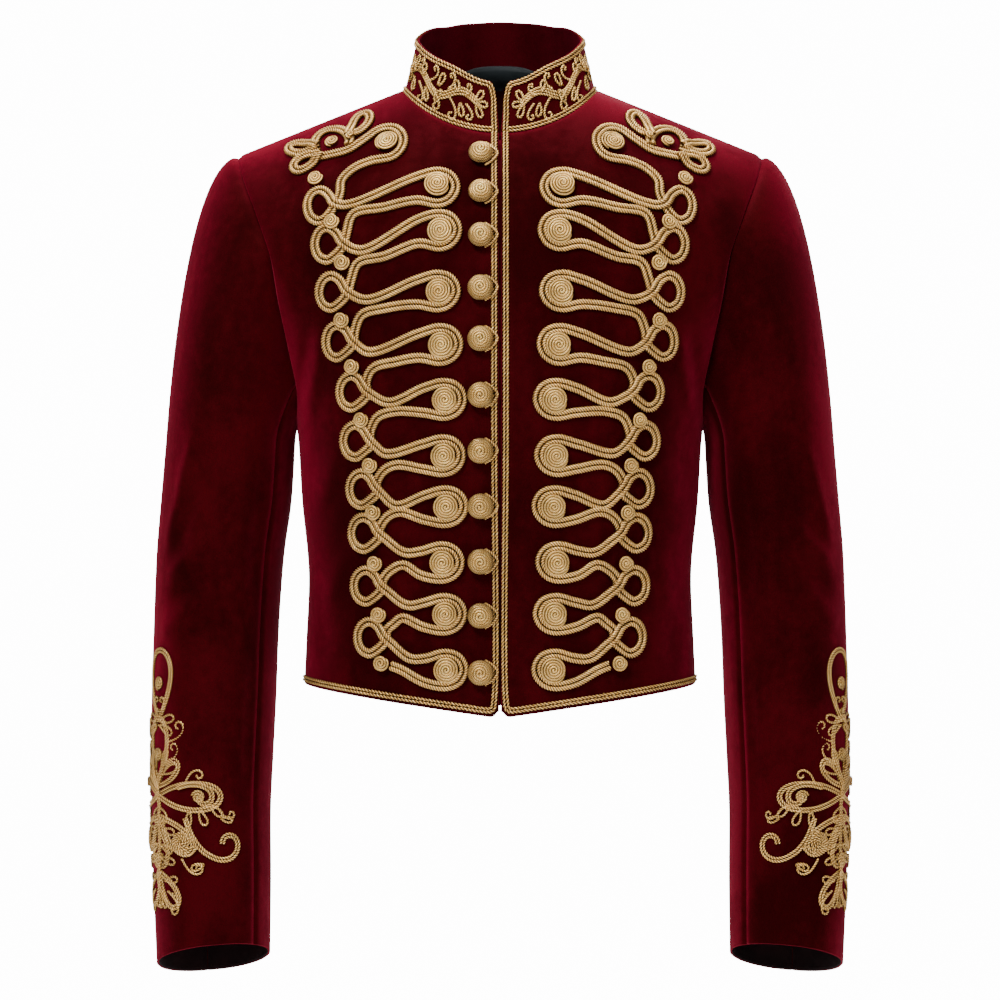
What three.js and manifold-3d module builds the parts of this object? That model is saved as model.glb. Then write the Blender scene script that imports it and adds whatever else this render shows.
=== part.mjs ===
// A hussar jacket, worn shape: velvet panels as thin walls, with braid and domed buttons on them.
// Millimetres, +Z up. The front faces -Y and the wearer's left is +X.
// The origin is level with the inner ends of the shoulder seams, at the middle of the neck.

import * as THREE from 'three';
import { mergeVertices } from 'three/addons/utils/BufferGeometryUtils.js';
import Module from 'manifold-3d';

const wasm = await Module();
wasm.setup();

// ---------------------------------------------------------------- driving sizes

const CLOTH = 1.8; // wall of a velvet panel with its backing
const SEAM = 0.2; // each panel stops this far short of its seam line
const LIFT = 0.5; // braid and buttons stand this far off the cloth

const NECK_HALF = 78; // half width of the neck opening at the shoulder seams
const NECK_DROP = 41; // depth of the neckline at the centre front
const NECK_RISE = 22; // height of the neckline at the centre back
const NAPE_RISE = 44.6; // height at which the back's surface would close at the centre
const NAPE_SLOPE = 50;
const SHOULDER_SLOPE = 0.4;
const ROUND_FRONT = 130; // depth over which the chest rounds up into the shoulder
const ROUND_BACK = 110;
const FULLNESS = 2.4; // exponent of the torso's cross-section

const EDGE = 1.6; // half the opening at the centre front
const HEM_FRONT = -508;
const HEM_BACK = -500;
const HEM_SIDE = -485;
const HEM_CORNER = 5; // how far the rounded corners rise at the centre front
const ARMPIT = -275;

// Torso: half width, and depth to the front and to the back, at each height.
const torso = [
  { z: -540, half: 161.5, front: 104, back: 100 },
  { z: -486, half: 160, front: 104, back: 98 },
  { z: -440, half: 158, front: 105.5, back: 93 },
  { z: -394, half: 156.5, front: 108, back: 89 },
  { z: -336, half: 162, front: 114, back: 94 },
  { z: -271, half: 167, front: 119, back: 103 },
  { z: -207, half: 184, front: 119, back: 108 },
  { z: -139, half: 224, front: 113, back: 107 },
  { z: -87, half: 246, front: 106, back: 102 },
  { z: -40, half: 262, front: 99, back: 98 },
  { z: 60, half: 276, front: 92, back: 94 },
];

// Armhole: distance from the middle of the body at each height, from the tip down.
const armhole = [
  { z: -54.4, front: 214, back: 214 },
  { z: -60, front: 213, back: 213 },
  { z: -77, front: 208, back: 208.5 },
  { z: -105, front: 197, back: 201 },
  { z: -140, front: 185, back: 192 },
  { z: -178, front: 179, back: 186 },
  { z: -214, front: 172, back: 178 },
  { z: -244, front: 166, back: 170 },
  { z: -265, front: 165.4, back: 166.6 },
];

// Columns of the panels where they end at the neckline and along the shoulder seam.
const neckFront = [EDGE, 5.5, 20, 38, 54, 66, 73, 76.8];
const neckBack = [0, 25, 48, 67];
const shoulderSeam = [NECK_HALF, 100, 124, 148, 171, 193, 214];
const SIDE_ROWS = 6;

// Long soft folds of the body cloth: a line between two places, its half width and its depth.
const torsoFolds = [
  { from: [150, -262], to: [131, -400], half: 11, deep: -3.5 },
  { from: [131, -330], to: [144, -470], half: 10, deep: 3 },
  { from: [146, -400], to: [137, -480], half: 8, deep: -2.5 },
];

// Sleeve rings: middle and half width across the body, middle and half depth front to back,
// and how much the ring tips up at its front.
const sleeveRings = [
  { z: -290, x: 220.8, half: 52.7, y: 0, deep: 68, tip: 0 },
  { z: -336, x: 224.3, half: 53.3, y: 2, deep: 66, tip: 0.04 },
  { z: -376, x: 228.8, half: 52.2, y: 2, deep: 64, tip: 0.08 },
  { z: -412, x: 231.8, half: 51.4, y: 0, deep: 62, tip: 0.11 },
  { z: -450, x: 234, half: 50.9, y: -3, deep: 60.5, tip: 0.15 },
  { z: -495, x: 235.9, half: 50.7, y: -8, deep: 58, tip: 0.2 },
  { z: -541, x: 236.9, half: 49.4, y: -15, deep: 55.5, tip: 0.25 },
  { z: -587, x: 237.4, half: 47.8, y: -23, deep: 53, tip: 0.29 },
  { z: -640, x: 236, half: 47.4, y: -33, deep: 50.5, tip: 0.32 },
  { z: -708, x: 235, half: 46, y: -46, deep: 49, tip: 0.33 },
];
const SLEEVE_ROUND = 2.15; // exponent of the sleeve's cross-section
const headSteps = [0, 0.1, 0.24, 0.44, 0.7];
const HEAD_SPRING = 0.44; // how far the sleeve head springs out before it falls
const HEAD_FALL = 1.15;
const SLEEVE_COLUMNS = 2 * armhole.length;
const FRONT_SEAM = 7; // columns of the two sleeve seams, counted from the tip over the front
const BACK_SEAM = 14;

// Folds of the sleeves: angle from the outer side over the front, height, half width and depth.
const sleeveFolds = [
  { from: [60, -330], to: [120, -430], half: 20, deep: -3 },
  { from: [40, -400], to: [100, -470], half: 18, deep: 2.5 },
  { from: [100, -440], to: [50, -500], half: 18, deep: -2.5 },
  { from: [250, -380], to: [300, -440], half: 18, deep: -3 },
  { from: [280, -450], to: [240, -500], half: 16, deep: -2.5 },
];

const COLLAR_HEIGHT = 40;
const COLLAR_BACK_EXTRA = 3;
const COLLAR_SIDE_EXTRA = 5.5; // the collar is tallest just behind the shoulders
const COLLAR_LEAN = 10;
const COLLAR_SPREAD = 3; // how much wider the opening is at the collar's top
const COLLAR_CORNER = 6;
const COLLAR_ROWS = 2;

const SAG = 0.42; // a straight length of braid may cut this far into a rounded surface
const STRAND_RISE = 0.4; // a strand's end lies this much higher than its start, over what it crosses
const DOUBLE = [[-1, 0], [-0.72, 1], [0.72, 1], [1, 0]]; // section of two cords side by side
const SINGLE = [[-1, 0], [0, 1], [1, 0]];
// Double cord of the frogging, thin double cord of the edges, cord of the collar and cuff knots:
// length of a straight piece at most, and the turn in degrees after which the next one starts.
const BRAID = { lift: LIFT, wide: 8, high: 2.9, step: 24, turn: 56, section: DOUBLE };
const TRIM = { lift: LIFT, wide: 6, high: 2.2, step: 26, turn: 30, section: DOUBLE };
const SPRIG = { lift: 0.8, wide: 4.6, high: 2.3, step: 22, turn: 72, section: SINGLE };
const TRIM_IN = 4.4; // middle of an edge cord, in from the edge
const DISC_HIGH = 4.6;
const STUD = 7;
const STUD_HIGH = 4;
const BRAID_TOLERANCE = 0.32; // joined braid keeps only corners that stand out by more than this
const RING = { across: 9.5, tall: 12.8 };

// Frogging on one front, a row for each frog from the shoulder down. Each place is a distance
// from the middle of the body and a height: the coiled disc near the opening, the ring at the
// outer end, the dip between them, the crest where the strand returns under the disc, the turn
// above the ring, and the stud above the ring.
const frogColumns = ['disc', 'ring', 'dip', 'crest', 'turn', 'stud'];
const frogRows = [
  [[49, -86], [143, -101], [118, -101], [93, -104], [127, -86], [146, -81]],
  [[47, -124], [136, -133], [109, -139], [91, -144], [121, -126], [133, -116]],
  [[48, -172], [133, -171], [105, -178], [91, -185], [117, -162], [124, -148]],
  [[46, -214], [129, -210], [103, -219], [81, -227], [114, -203], [125, -193]],
  [[43, -257], [118, -250], [87, -259], [82, -266], [105, -243], [117.5, -229]],
  [[44, -301], [115, -289], [90, -299], [81, -308], [102, -285], [110, -271]],
  [[42, -341], [111, -327], [82, -340], [79, -345], [97, -323], [103, -308]],
  [[45, -385], [109, -362], [75, -377], [76, -387], [95, -360], [101, -345]],
  [[43, -426], [107, -404], [73, -419], [77, -429], [92, -399], [99.5, -385.5]],
  [[42, -470], [104, -445], [71, -461], [77, -469], [89, -439], [96.5, -426.5]],
];
const SHOULDER_BRAID = 6.4; // width of the cord in the loops of the shoulder knot
const DISC = 9.4;
const DISC_SHIFT = 0.9; // discs sit this far towards the bend of their strand
const LAST_STUD = [93, -465];

// Shoulder knot and the first frog, whose strand runs out of it.
const shoulderDisc = [87, -49];
const shoulderStud = [135, -48.5];
const shoulderStrand = [
  [136, -60.5], [125, -57], [113, -51], [101, -45], [92, -40.5], [82.5, -38.6], [76.5, -43], [76, -50],
  [81, -55.5], [93, -60.3], [106, -64.6], [119, -70], [127, -78], [130, -86], [127, -96],
];
const shoulderLoops = [
  [[119, -44], [117.5, -32], [111, -25], [103.5, -27], [102.5, -33], [108.5, -39], [120, -45], [119, -52]],
  [[119, -46], [129, -38.5], [137, -36], [145.5, -38.5], [150, -45], [149.5, -51.5], [145, -57]],
  [[147, -57], [157.5, -60], [168, -56], [170, -52], [165, -48.5], [157, -47.5], [149, -51]],
  [
    [144, -48], [140, -54], [138.5, -62], [142, -68], [150, -72],
    [159, -72], [166, -68], [163, -63], [150, -60],
  ],
];

// Buttons down the wearer's right front.
const BUTTON_OUT = 15.4;
const buttonHeights = [-63, -94, -128, -169.5, -209.5, -253.5, -297, -340.5, -384, -427, -472];
const BUTTON = 10.6;
const TOP_BUTTON = 10;
const TOP_BUTTONS = 3;
// Profile of a button as fractions of its radius, and heights over the cloth.
const buttonProfile = [[0.5, 0], [0.52, 3.6], [1, 4.8], [0.86, 8.6], [0.4, 11.4]];
const BUTTON_SIDES = 7;

// Sprig on each collar end: along the collar from the centre front, and up it.
const collarSprig = [
  [
    [14, 13], [17, 10.4], [21, 12], [20, 17], [17, 23], [21, 28.5],
    [28, 29], [31, 24], [36, 22], [41, 26], [46, 25],
  ],
  [[24, 21], [30, 15], [35, 12], [41, 16], [46, 24], [54, 28.5], [60, 27]],
  [[41, 16], [47, 12], [53, 14], [60, 20], [66, 26], [74, 28], [79, 23]],
  [[36, 13], [39, 10.6], [43, 10.6]],
];

// Knot on the outer side of each cuff: distance round the sleeve from the knot's middle line,
// and height. Each strand is made again on the other side of that line.
const CUFF_KNOT_ANGLE = 42;
const CUFF_KNOT_RADIUS = 52;
const cuffStrands = [
  [[0, -513], [9, -500], [14, -484], [10, -466], [0, -457]],
  [[0, -511], [12, -530], [12, -548], [0, -566]],
  [
    [0, -562], [14, -572], [32, -570], [46, -560], [56, -562],
    [54, -573], [42, -584], [24, -590], [0, -583],
  ],
  [[26, -588], [38, -597], [46, -586], [56, -588], [58, -600], [50, -608]],
  [[34, -594], [42, -614], [48, -634], [56, -644], [66, -640], [67, -628], [58, -624]],
  [[0, -583], [18, -594], [30, -604], [28, -620], [16, -620], [15, -609]],
  [[0, -634], [14, -642], [23, -654], [16, -666], [5, -660], [0, -646]],
];
const cuffSpine = [[0, -583], [0, -650]];

// ---------------------------------------------------------------- colours

const VELVET = { name: 'velvet', color: 0x5e0a1c, roughness: 0.85, metalness: 0 };
const GOLD = { name: 'gold_cord', color: 0xc59a5a, roughness: 0.5, metalness: 0.4 };
const LINING = { name: 'lining', color: 0x4a5356, roughness: 0.8, metalness: 0 };

// ---------------------------------------------------------------- the body's surface

const clamp = (value, low, high) => Math.min(Math.max(value, low), high);
const mix = THREE.MathUtils.lerp;
const radians = THREE.MathUtils.degToRad;

// Smooth reading of one column of a table whose rows are sorted by rising z.
function reading(rows, column, z) {
  const at = clamp(z, rows[0].z, rows[rows.length - 1].z);
  let low = 0;
  while (low < rows.length - 2 && at > rows[low + 1].z) low += 1;
  const slope = (index) => {
    const before = rows[Math.max(index - 1, 0)];
    const after = rows[Math.min(index + 1, rows.length - 1)];
    return (after[column] - before[column]) / (after.z - before.z);
  };
  const span = rows[low + 1].z - rows[low].z;
  const t = (at - rows[low].z) / span;
  const rise = 3 * t * t - 2 * t * t * t;
  return (1 - rise) * rows[low][column] + rise * rows[low + 1][column]
    + (t ** 3 - 2 * t * t + t) * span * slope(low) + (t ** 3 - t * t) * span * slope(low + 1);
}

// Height at which the body's surface closes over the shoulder, across the body.
function ridge(across, back) {
  if (across >= NECK_HALF) return -SHOULDER_SLOPE * (across - NECK_HALF);
  const r = (NECK_HALF - across) / NECK_HALF;
  if (!back) return SHOULDER_SLOPE * NECK_HALF * r * Math.exp(-r / 0.12);
  return NAPE_SLOPE * (r ** 3 - 2 * r * r + r) + NAPE_RISE * (3 * r * r - 2 * r ** 3);
}

// A fold's depth at a place: a soft trough or ridge along a line, fading at both ends.
function foldDepth(folds, place, scale = 1) {
  let depth = 0;
  for (const fold of folds) {
    const run = [(fold.to[0] - fold.from[0]) * scale, fold.to[1] - fold.from[1]];
    const off = [(place[0] - fold.from[0]) * scale, place[1] - fold.from[1]];
    const length = Math.hypot(...run);
    const along = (off[0] * run[0] + off[1] * run[1]) / length;
    const aside = (off[0] * run[1] - off[1] * run[0]) / length;
    const end = clamp(Math.min(along, length - along) / (0.3 * length), 0, 1);
    depth += fold.deep * end * end * (3 - 2 * end) * Math.exp(-((aside / fold.half) ** 2));
  }
  return depth;
}

// A place on the cloth, by its distance from the middle of the body and its height.
function onBody(across, z, back) {
  const half = reading(torso, 'half', z);
  const deep = reading(torso, back ? 'back' : 'front', z);
  const round = back ? ROUND_BACK : ROUND_FRONT;
  const share = clamp(across / half, 0, 1);
  const drop = clamp((ridge(across, back) - z) / round, 0, 1);
  const fold = foldDepth(torsoFolds, [across, z]);
  const depth = deep * (1 - share ** FULLNESS) ** (1 / FULLNESS) * Math.sqrt(1 - (1 - drop) ** 2);
  const out = depth + fold * clamp(depth / 40, 0, 1);
  return new THREE.Vector3(across, back ? out : -out, z);
}

// The same place by its turn round the body and its lean up over the shoulder, both angles.
function byAngles(turn, lean, back) {
  const round = back ? ROUND_BACK : ROUND_FRONT;
  const fall = lean < Math.PI / 2 ? round * (1 - Math.cos(lean)) : round * (1 + lean - Math.PI / 2);
  let across = 150;
  let z = -fall;
  for (let pass = 0; pass < 12; pass += 1) {
    z = ridge(across, back) - fall;
    across = reading(torso, 'half', z) * Math.sin(turn) ** (2 / FULLNESS);
  }
  return onBody(across, z, back);
}

function leanAt(across, z, back) {
  const round = back ? ROUND_BACK : ROUND_FRONT;
  const fall = Math.max(ridge(across, back) - z, 0);
  return fall < round ? Math.acos(1 - fall / round) : Math.PI / 2 + fall / round - 1;
}

function turnAt(across, z) {
  return Math.asin(clamp(across / reading(torso, 'half', z), 0, 1) ** (FULLNESS / 2));
}

const neckline = (across, back) => {
  const inside = 1 - (across / NECK_HALF) ** 2;
  return back ? NECK_RISE * inside : -NECK_DROP * inside ** 0.75;
};

const hemline = (across, back) => {
  const middle = back ? HEM_BACK : HEM_FRONT;
  const corner = back ? 0 : HEM_CORNER * Math.exp(-(((across - EDGE) / 3) ** 2));
  return mix(middle, HEM_SIDE, across / reading(torso, 'half', HEM_SIDE)) + corner;
};

// ---------------------------------------------------------------- grids of points

// Side seam and armhole from the hem up: the outer ends of a panel's rows.
function outerEnds(back) {
  const ends = [];
  for (let row = 0; row < SIDE_ROWS; row += 1) {
    const z = mix(HEM_SIDE, ARMPIT, row / SIDE_ROWS);
    ends.push([reading(torso, 'half', z), z]);
  }
  ends.push([reading(torso, 'half', ARMPIT), ARMPIT]);
  for (const place of [...armhole].reverse()) ends.push([back ? place.back : place.front, place.z]);
  return ends;
}

// Half of a panel as rows of points, from the hem up and from the middle of the body outwards.
function halfPanel(back) {
  const neck = back ? neckBack : neckFront;
  const tops = [...neck, ...shoulderSeam];
  const ends = outerEnds(back);
  const last = ends.length - 1;
  const columns = tops.length - 1;
  const topZ = (across) => (across < NECK_HALF ? neckline(across, back) : ridge(across, back));
  const turns = tops.map((across) => turnAt(across, topZ(across)));
  const leans = tops.map((across) => leanAt(across, topZ(across), back));
  const startLean = leanAt(...ends[0], back);
  const first = neck[0];
  const rows = [];
  for (let row = 0; row <= last; row += 1) {
    const up = row / last;
    const endUp = (leanAt(...ends[row], back) - startLean) / (leanAt(...ends[last], back) - startLean);
    const middleZ = mix(hemline(first, back), neckline(first, back), up);
    const inner = turnAt(first, middleZ);
    const outer = turnAt(...ends[row]);
    const points = [];
    for (let column = 0; column <= columns; column += 1) {
      const topShare = (turns[column] - turns[0]) / (turns[columns] - turns[0]);
      const even = back ? column / columns : Math.max(column - 0.72, 0) / (columns - 0.72);
      const share = mix(even, topShare, up ** 2.2);
      const turn = mix(inner, outer, share);
      const half = reading(torso, 'half', -490) * Math.sin(turn) ** (2 / FULLNESS);
      const hem = hemline(half, back);
      const low = leanAt(half, hem, back);
      const climb = mix(up, endUp, share);
      points.push(byAngles(turn, mix(low, leans[column], climb), back));
    }
    if (row === last) tops.forEach((across, column) => {
      points[column] = onBody(across, topZ(across), back);
    });
    points[0] = onBody(first, middleZ, back);
    points[columns] = onBody(...ends[row], back);
    rows.push(points);
  }
  return rows;
}

const mirrored = (rows) => rows.map((row) => row.map((p) => new THREE.Vector3(-p.x, p.y, p.z)));
const slice = (rows, from, to) => rows.map((row) => row.slice(from, to + 1));

function backPanel() {
  const left = halfPanel(true);
  return left.map((row, index) => [...mirrored(left)[index].reverse(), ...row.slice(1)]);
}

// The armhole as a loop of points: over the front from the tip to the armpit, and back up.
function armholeLoop() {
  const armpit = onBody(reading(torso, 'half', ARMPIT), ARMPIT, false);
  const front = armhole.map((place) => onBody(place.front, place.z, false));
  const back = armhole.slice(1).map((place) => onBody(place.back, place.z, true));
  return [...front, armpit, ...back.reverse()];
}

// A place on a sleeve ring, at an angle from the outer side over the front.
function onRing(ring, angle) {
  const c = Math.cos(angle);
  const s = Math.sin(angle);
  const power = 2 / SLEEVE_ROUND;
  const y = -ring.deep * Math.sign(s) * Math.abs(s) ** power;
  const x = ring.x + ring.half * Math.sign(c) * Math.abs(c) ** power;
  return new THREE.Vector3(x, ring.y + y, ring.z - ring.tip * y);
}

// The whole sleeve as rows of points: the head from the armhole down, then the rings.
function wholeSleeve() {
  const rows = headSteps.map(() => []);
  const down = new THREE.Vector3(0.07, 0, -1);
  armholeLoop().forEach((start, column) => {
    const angle = (2 * Math.PI * column) / SLEEVE_COLUMNS;
    const end = onRing(sleeveRings[0], angle);
    const around = Math.atan2(-start.y / 72, (start.z + 165) / 110);
    const low = Math.sin(around / 2) ** 2;
    const out = new THREE.Vector3(1 - 0.95 * low, -0.22 * Math.sin(around), -0.08 - 0.92 * low);
    const length = start.distanceTo(end);
    const spring = out.normalize().multiplyScalar(length * HEAD_SPRING);
    const fall = down.clone().multiplyScalar(length * HEAD_FALL);
    headSteps.forEach((t, row) => {
      const ease = 3 * t * t - 2 * t ** 3;
      const point = start.clone().multiplyScalar(1 - ease).addScaledVector(end, ease);
      point.addScaledVector(spring, t ** 3 - 2 * t * t + t).addScaledVector(fall, t ** 3 - t * t);
      rows[row].push(point);
    });
  });
  for (const ring of sleeveRings) {
    const points = [];
    for (let column = 0; column < SLEEVE_COLUMNS; column += 1) {
      const turn = (360 * column) / SLEEVE_COLUMNS;
      const point = onRing(ring, radians(turn));
      const depth = foldDepth(sleeveFolds, [turn, point.z], CUFF_KNOT_RADIUS / 57.3);
      const out = new THREE.Vector3(point.x - ring.x, point.y - ring.y, 0).normalize();
      points.push(point.addScaledVector(out, depth));
    }
    rows.push(points);
  }
  return rows;
}

// Columns of the sleeve between two seams, round past the tip where the second is the smaller.
function sleevePart(rows, from, to) {
  const count = (to - from + SLEEVE_COLUMNS) % SLEEVE_COLUMNS;
  return rows.map((row) => {
    const part = [];
    for (let step = 0; step <= count; step += 1) {
      part.push(row[(from + step) % SLEEVE_COLUMNS].clone());
    }
    return part;
  });
}

// The collar from the right front end round the back to the left front end.
function collarPanel() {
  const front = [...neckFront].map((across) => onBody(across, neckline(across, false), false));
  const back = [...neckBack].map((across) => onBody(across, neckline(across, true), true));
  const half = [...front, onBody(NECK_HALF, 0, false), ...back.reverse()];
  const flip = half.slice(0, -1).reverse();
  const base = [...half.map((p) => new THREE.Vector3(-p.x, p.y, p.z)), ...flip];
  const rows = [];
  for (let row = 0; row <= COLLAR_ROWS; row += 1) {
    rows.push(base.map((point) => aboveNeck(point, row / COLLAR_ROWS)));
  }
  return rows;
}

// A place on the collar above a place on the neckline, by the share of its height.
function aboveNeck(base, share) {
  const inward = new THREE.Vector3(-base.x, -base.y - 4, 0).normalize();
  const front = clamp(-base.y / 72, 0, 1);
  const nearEnd = front * Math.exp(-(((Math.abs(base.x) - EDGE) / 7) ** 2));
  const corner = front * Math.exp(-(((Math.abs(base.x) - EDGE) / 3) ** 2));
  const back = clamp(base.y / 58, 0, 1);
  const side = Math.exp(-(((base.y - 18) / 16) ** 2));
  const extra = COLLAR_BACK_EXTRA * back + COLLAR_SIDE_EXTRA * side - COLLAR_CORNER * corner;
  const point = base.clone().addScaledVector(inward, COLLAR_LEAN * share * (1 - 0.4 * back));
  point.x += Math.sign(base.x) * COLLAR_SPREAD * nearEnd * share;
  point.z += (COLLAR_HEIGHT + extra) * share;
  return point;
}

// ---------------------------------------------------------------- walls from grids

// One closed mesh from points and triangles, turned so that its faces point out.
function closedGeometry(points, triangles) {
  let volume = 0;
  for (const [a, b, c] of triangles) volume += points[a].dot(points[b].clone().cross(points[c]));
  const turned = volume < 0 ? triangles.map(([a, b, c]) => [a, c, b]) : triangles;
  const geometry = new THREE.BufferGeometry();
  const places = points.flatMap((p) => [p.x, p.y, p.z]);
  geometry.setAttribute('position', new THREE.Float32BufferAttribute(places, 3));
  geometry.setIndex(turned.flat());
  return geometry;
}

// A wall between an outer and an inner grid, closed round its four edges.
function wall(outer, inner) {
  const rows = outer.length;
  const columns = outer[0].length;
  const points = [...outer.flat(), ...inner.flat()];
  const depth = rows * columns;
  const at = (row, column) => row * columns + column;
  const triangles = [];
  const quad = (a, b, c, d) => triangles.push([a, b, c], [a, c, d]);
  for (let row = 0; row + 1 < rows; row += 1) {
    for (let column = 0; column + 1 < columns; column += 1) {
      const low = [at(row, column), at(row, column + 1)];
      const corners = [...low, at(row + 1, column + 1), at(row + 1, column)];
      quad(...corners);
      quad(...corners.map((index) => index + depth).reverse());
    }
  }
  const rim = [];
  for (let column = 0; column < columns - 1; column += 1) rim.push(at(0, column));
  for (let row = 0; row < rows - 1; row += 1) rim.push(at(row, columns - 1));
  for (let column = columns - 1; column > 0; column -= 1) rim.push(at(rows - 1, column));
  for (let row = rows - 1; row > 0; row -= 1) rim.push(at(row, 0));
  rim.forEach((index, step) => {
    const next = rim[(step + 1) % rim.length];
    quad(index, index + depth, next + depth, next);
  });
  return closedGeometry(points, triangles);
}

// Direction into the cloth at each point of a grid.
function inwardNormals(rows, flip) {
  const last = rows.length - 1;
  const end = rows[0].length - 1;
  return rows.map((row, i) => row.map((point, j) => {
    const along = row[Math.min(j + 1, end)].clone().sub(row[Math.max(j - 1, 0)]);
    const up = rows[Math.min(i + 1, last)][j].clone().sub(rows[Math.max(i - 1, 0)][j]);
    return along.cross(up).normalize().multiplyScalar(flip ? -1 : 1);
  }));
}

// Direction through the cloth at a seam: between the depths of the parts that meet there, and
// away from them where they fold back on each other.
function seamDepth(seam) {
  const inward = new THREE.Vector3();
  for (const part of ['body', 'sleeve', 'collar']) {
    if (!seam[part]) continue;
    inward.add(seam[part].normal.clone().normalize());
    inward.addScaledVector(seam[part].pull.clone().clampLength(0, 1), -0.5);
  }
  return inward.normalize();
}

// Panels that meet at seams: each seam point gets one direction for the depth of the wall,
// shared by the panels there, and each panel stops short of the seam.
function seamedWalls(panels) {
  const seams = new Map();
  const key = (p) => [p.x, p.y, p.z].map((value) => Math.round(value * 20)).join();
  const prepared = panels.map((panel) => ({ ...panel, normals: inwardNormals(panel.rows, panel.flip) }));
  const pulls = prepared.map(({ rows, part, normals }) => rows.map((row, i) => row.map((point, j) => {
    const pull = new THREE.Vector3();
    const towards = (a, b) => pull.add(rows[a][b].clone().sub(point).normalize());
    if (i === 0) towards(1, j);
    if (i === rows.length - 1) towards(i - 1, j);
    if (j === 0) towards(i, 1);
    if (j === row.length - 1) towards(i, j - 1);
    if (pull.lengthSq() === 0) return null;
    pull.normalize();
    const seam = seams.get(key(point)) ?? { count: 0 };
    seam.count += 1;
    seam[part] ??= { normal: new THREE.Vector3(), pull: new THREE.Vector3() };
    seam[part].normal.add(normals[i][j]);
    seam[part].pull.add(pull);
    seams.set(key(point), seam);
    return pull;
  })));
  return prepared.map(({ rows, normals }, index) => {
    const outer = [];
    const inner = [];
    rows.forEach((row, i) => {
      outer.push([]);
      inner.push([]);
      row.forEach((point, j) => {
        const pull = pulls[index][i][j];
        const seam = pull && seams.get(key(point));
        const shared = seam && seam.count > 1;
        const inward = shared ? seamDepth(seam) : normals[i][j];
        const start = point.clone();
        if (shared) start.addScaledVector(pull, SEAM);
        outer[i].push(start);
        inner[i].push(start.clone().addScaledVector(inward, CLOTH));
      });
    });
    return wall(outer, inner);
  });
}

// ---------------------------------------------------------------- braid

const toSolid = (geometry) => {
  const bare = mergeVertices(geometry, 1e-5);
  const mesh = new wasm.Mesh({
    numProp: 3,
    vertProperties: new Float32Array(bare.attributes.position.array),
    triVerts: new Uint32Array(bare.index.array),
  });
  return new wasm.Manifold(mesh);
};

function toGeometry(solid) {
  const mesh = solid.getMesh();
  const geometry = new THREE.BufferGeometry();
  geometry.setAttribute('position', new THREE.BufferAttribute(mesh.vertProperties, 3));
  geometry.setIndex(new THREE.BufferAttribute(mesh.triVerts, 1));
  return geometry;
}

// Stations along a smooth line laid on a surface: closer where it turns or the surface rounds.
function stations(surface, places, { step, turn }) {
  const curve = new THREE.CatmullRomCurve3(places.map(([a, b]) => new THREE.Vector3(a, b, 0)));
  const fine = curve.getSpacedPoints(2 * Math.ceil(curve.getLength()));
  const laid = fine.map((spot) => frameOn(surface, spot.x, spot.y));
  const kept = [fine[0]];
  let length = 0;
  let bend = 0;
  let round = 0;
  for (let index = 1; index < fine.length - 1; index += 1) {
    const before = fine[index].clone().sub(fine[index - 1]);
    bend += before.angleTo(fine[index + 1].clone().sub(fine[index]));
    round += laid[index].out.angleTo(laid[index - 1].out);
    length += laid[index].point.distanceTo(laid[index - 1].point);
    if (bend > radians(turn) || length > step || (length * round) / 8 > SAG) {
      kept.push(fine[index]);
      length = 0;
      bend = 0;
      round = 0;
    }
  }
  kept.push(fine[fine.length - 1]);
  return kept;
}

// A place on a surface with its direction out of the cloth, away from the middle it goes round.
function frameOn(surface, a, b) {
  const d = 0.5;
  const side = surface(a + d, b).sub(surface(a - d, b));
  const up = surface(a, b + d).sub(surface(a, b - d));
  const point = surface(a, b);
  const out = side.cross(up).normalize();
  const away = out.x * (point.x - Math.sign(point.x) * (surface.middle ?? 0)) + out.y * point.y;
  return { point, out: away < 0 ? out.negate() : out };
}

// A strand of braid laid on a surface, as short closed lengths that share their end faces.
function strand(surface, places, size) {
  const line = stations(surface, places, size);
  const sections = line.map((spot, index) => {
    const { point, out } = frameOn(surface, spot.x, spot.y);
    const ahead = line[Math.min(index + 1, line.length - 1)];
    const behind = line[Math.max(index - 1, 0)];
    const along = surface(ahead.x, ahead.y).sub(surface(behind.x, behind.y));
    const aside = out.clone().cross(along).normalize();
    const lift = size.lift + (STRAND_RISE * index) / line.length;
    return size.section.map(([wide, high]) => point.clone()
      .addScaledVector(aside, (wide * size.wide) / 2)
      .addScaledVector(out, lift + high * size.high));
  });
  const lengths = [];
  for (let start = 0; start < sections.length - 1; start += 4) {
    lengths.push(toSolid(loft(sections.slice(start, start + 5))));
  }
  return lengths;
}

// A closed solid through a row of sections with the same number of corners.
function loft(sections) {
  const sides = sections[0].length;
  const triangles = [];
  for (let index = 0; index + 1 < sections.length; index += 1) {
    for (let side = 0; side < sides; side += 1) {
      const a = index * sides + side;
      const b = index * sides + ((side + 1) % sides);
      triangles.push([a, b, b + sides], [a, b + sides, a + sides]);
    }
  }
  const top = (sections.length - 1) * sides;
  for (let side = 1; side + 1 < sides; side += 1) {
    triangles.push([0, side + 1, side], [top, top + side, top + side + 1]);
  }
  return closedGeometry(sections.flat(), triangles);
}

// Corners of a circle that faces a direction, raised along it.
function circle(centre, out, radius, high, sides) {
  const aside = new THREE.Vector3(0, 0, 1).cross(out).normalize();
  const up = out.clone().cross(aside);
  return Array.from({ length: sides }, (_, side) => {
    const angle = (2 * Math.PI * side) / sides;
    const corner = centre.clone().addScaledVector(out, high);
    corner.addScaledVector(aside, radius * Math.cos(angle));
    return corner.addScaledVector(up, radius * Math.sin(angle));
  });
}

// A low round boss on a surface: a coiled disc or a stud.
function boss(surface, [a, b], radius, high, sides) {
  const { point, out } = frameOn(surface, a, b);
  const foot = circle(point, out, radius, LIFT, sides);
  const top = circle(point, out, 0.8 * radius, LIFT + high, sides);
  return toSolid(loft([foot, top]));
}

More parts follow.
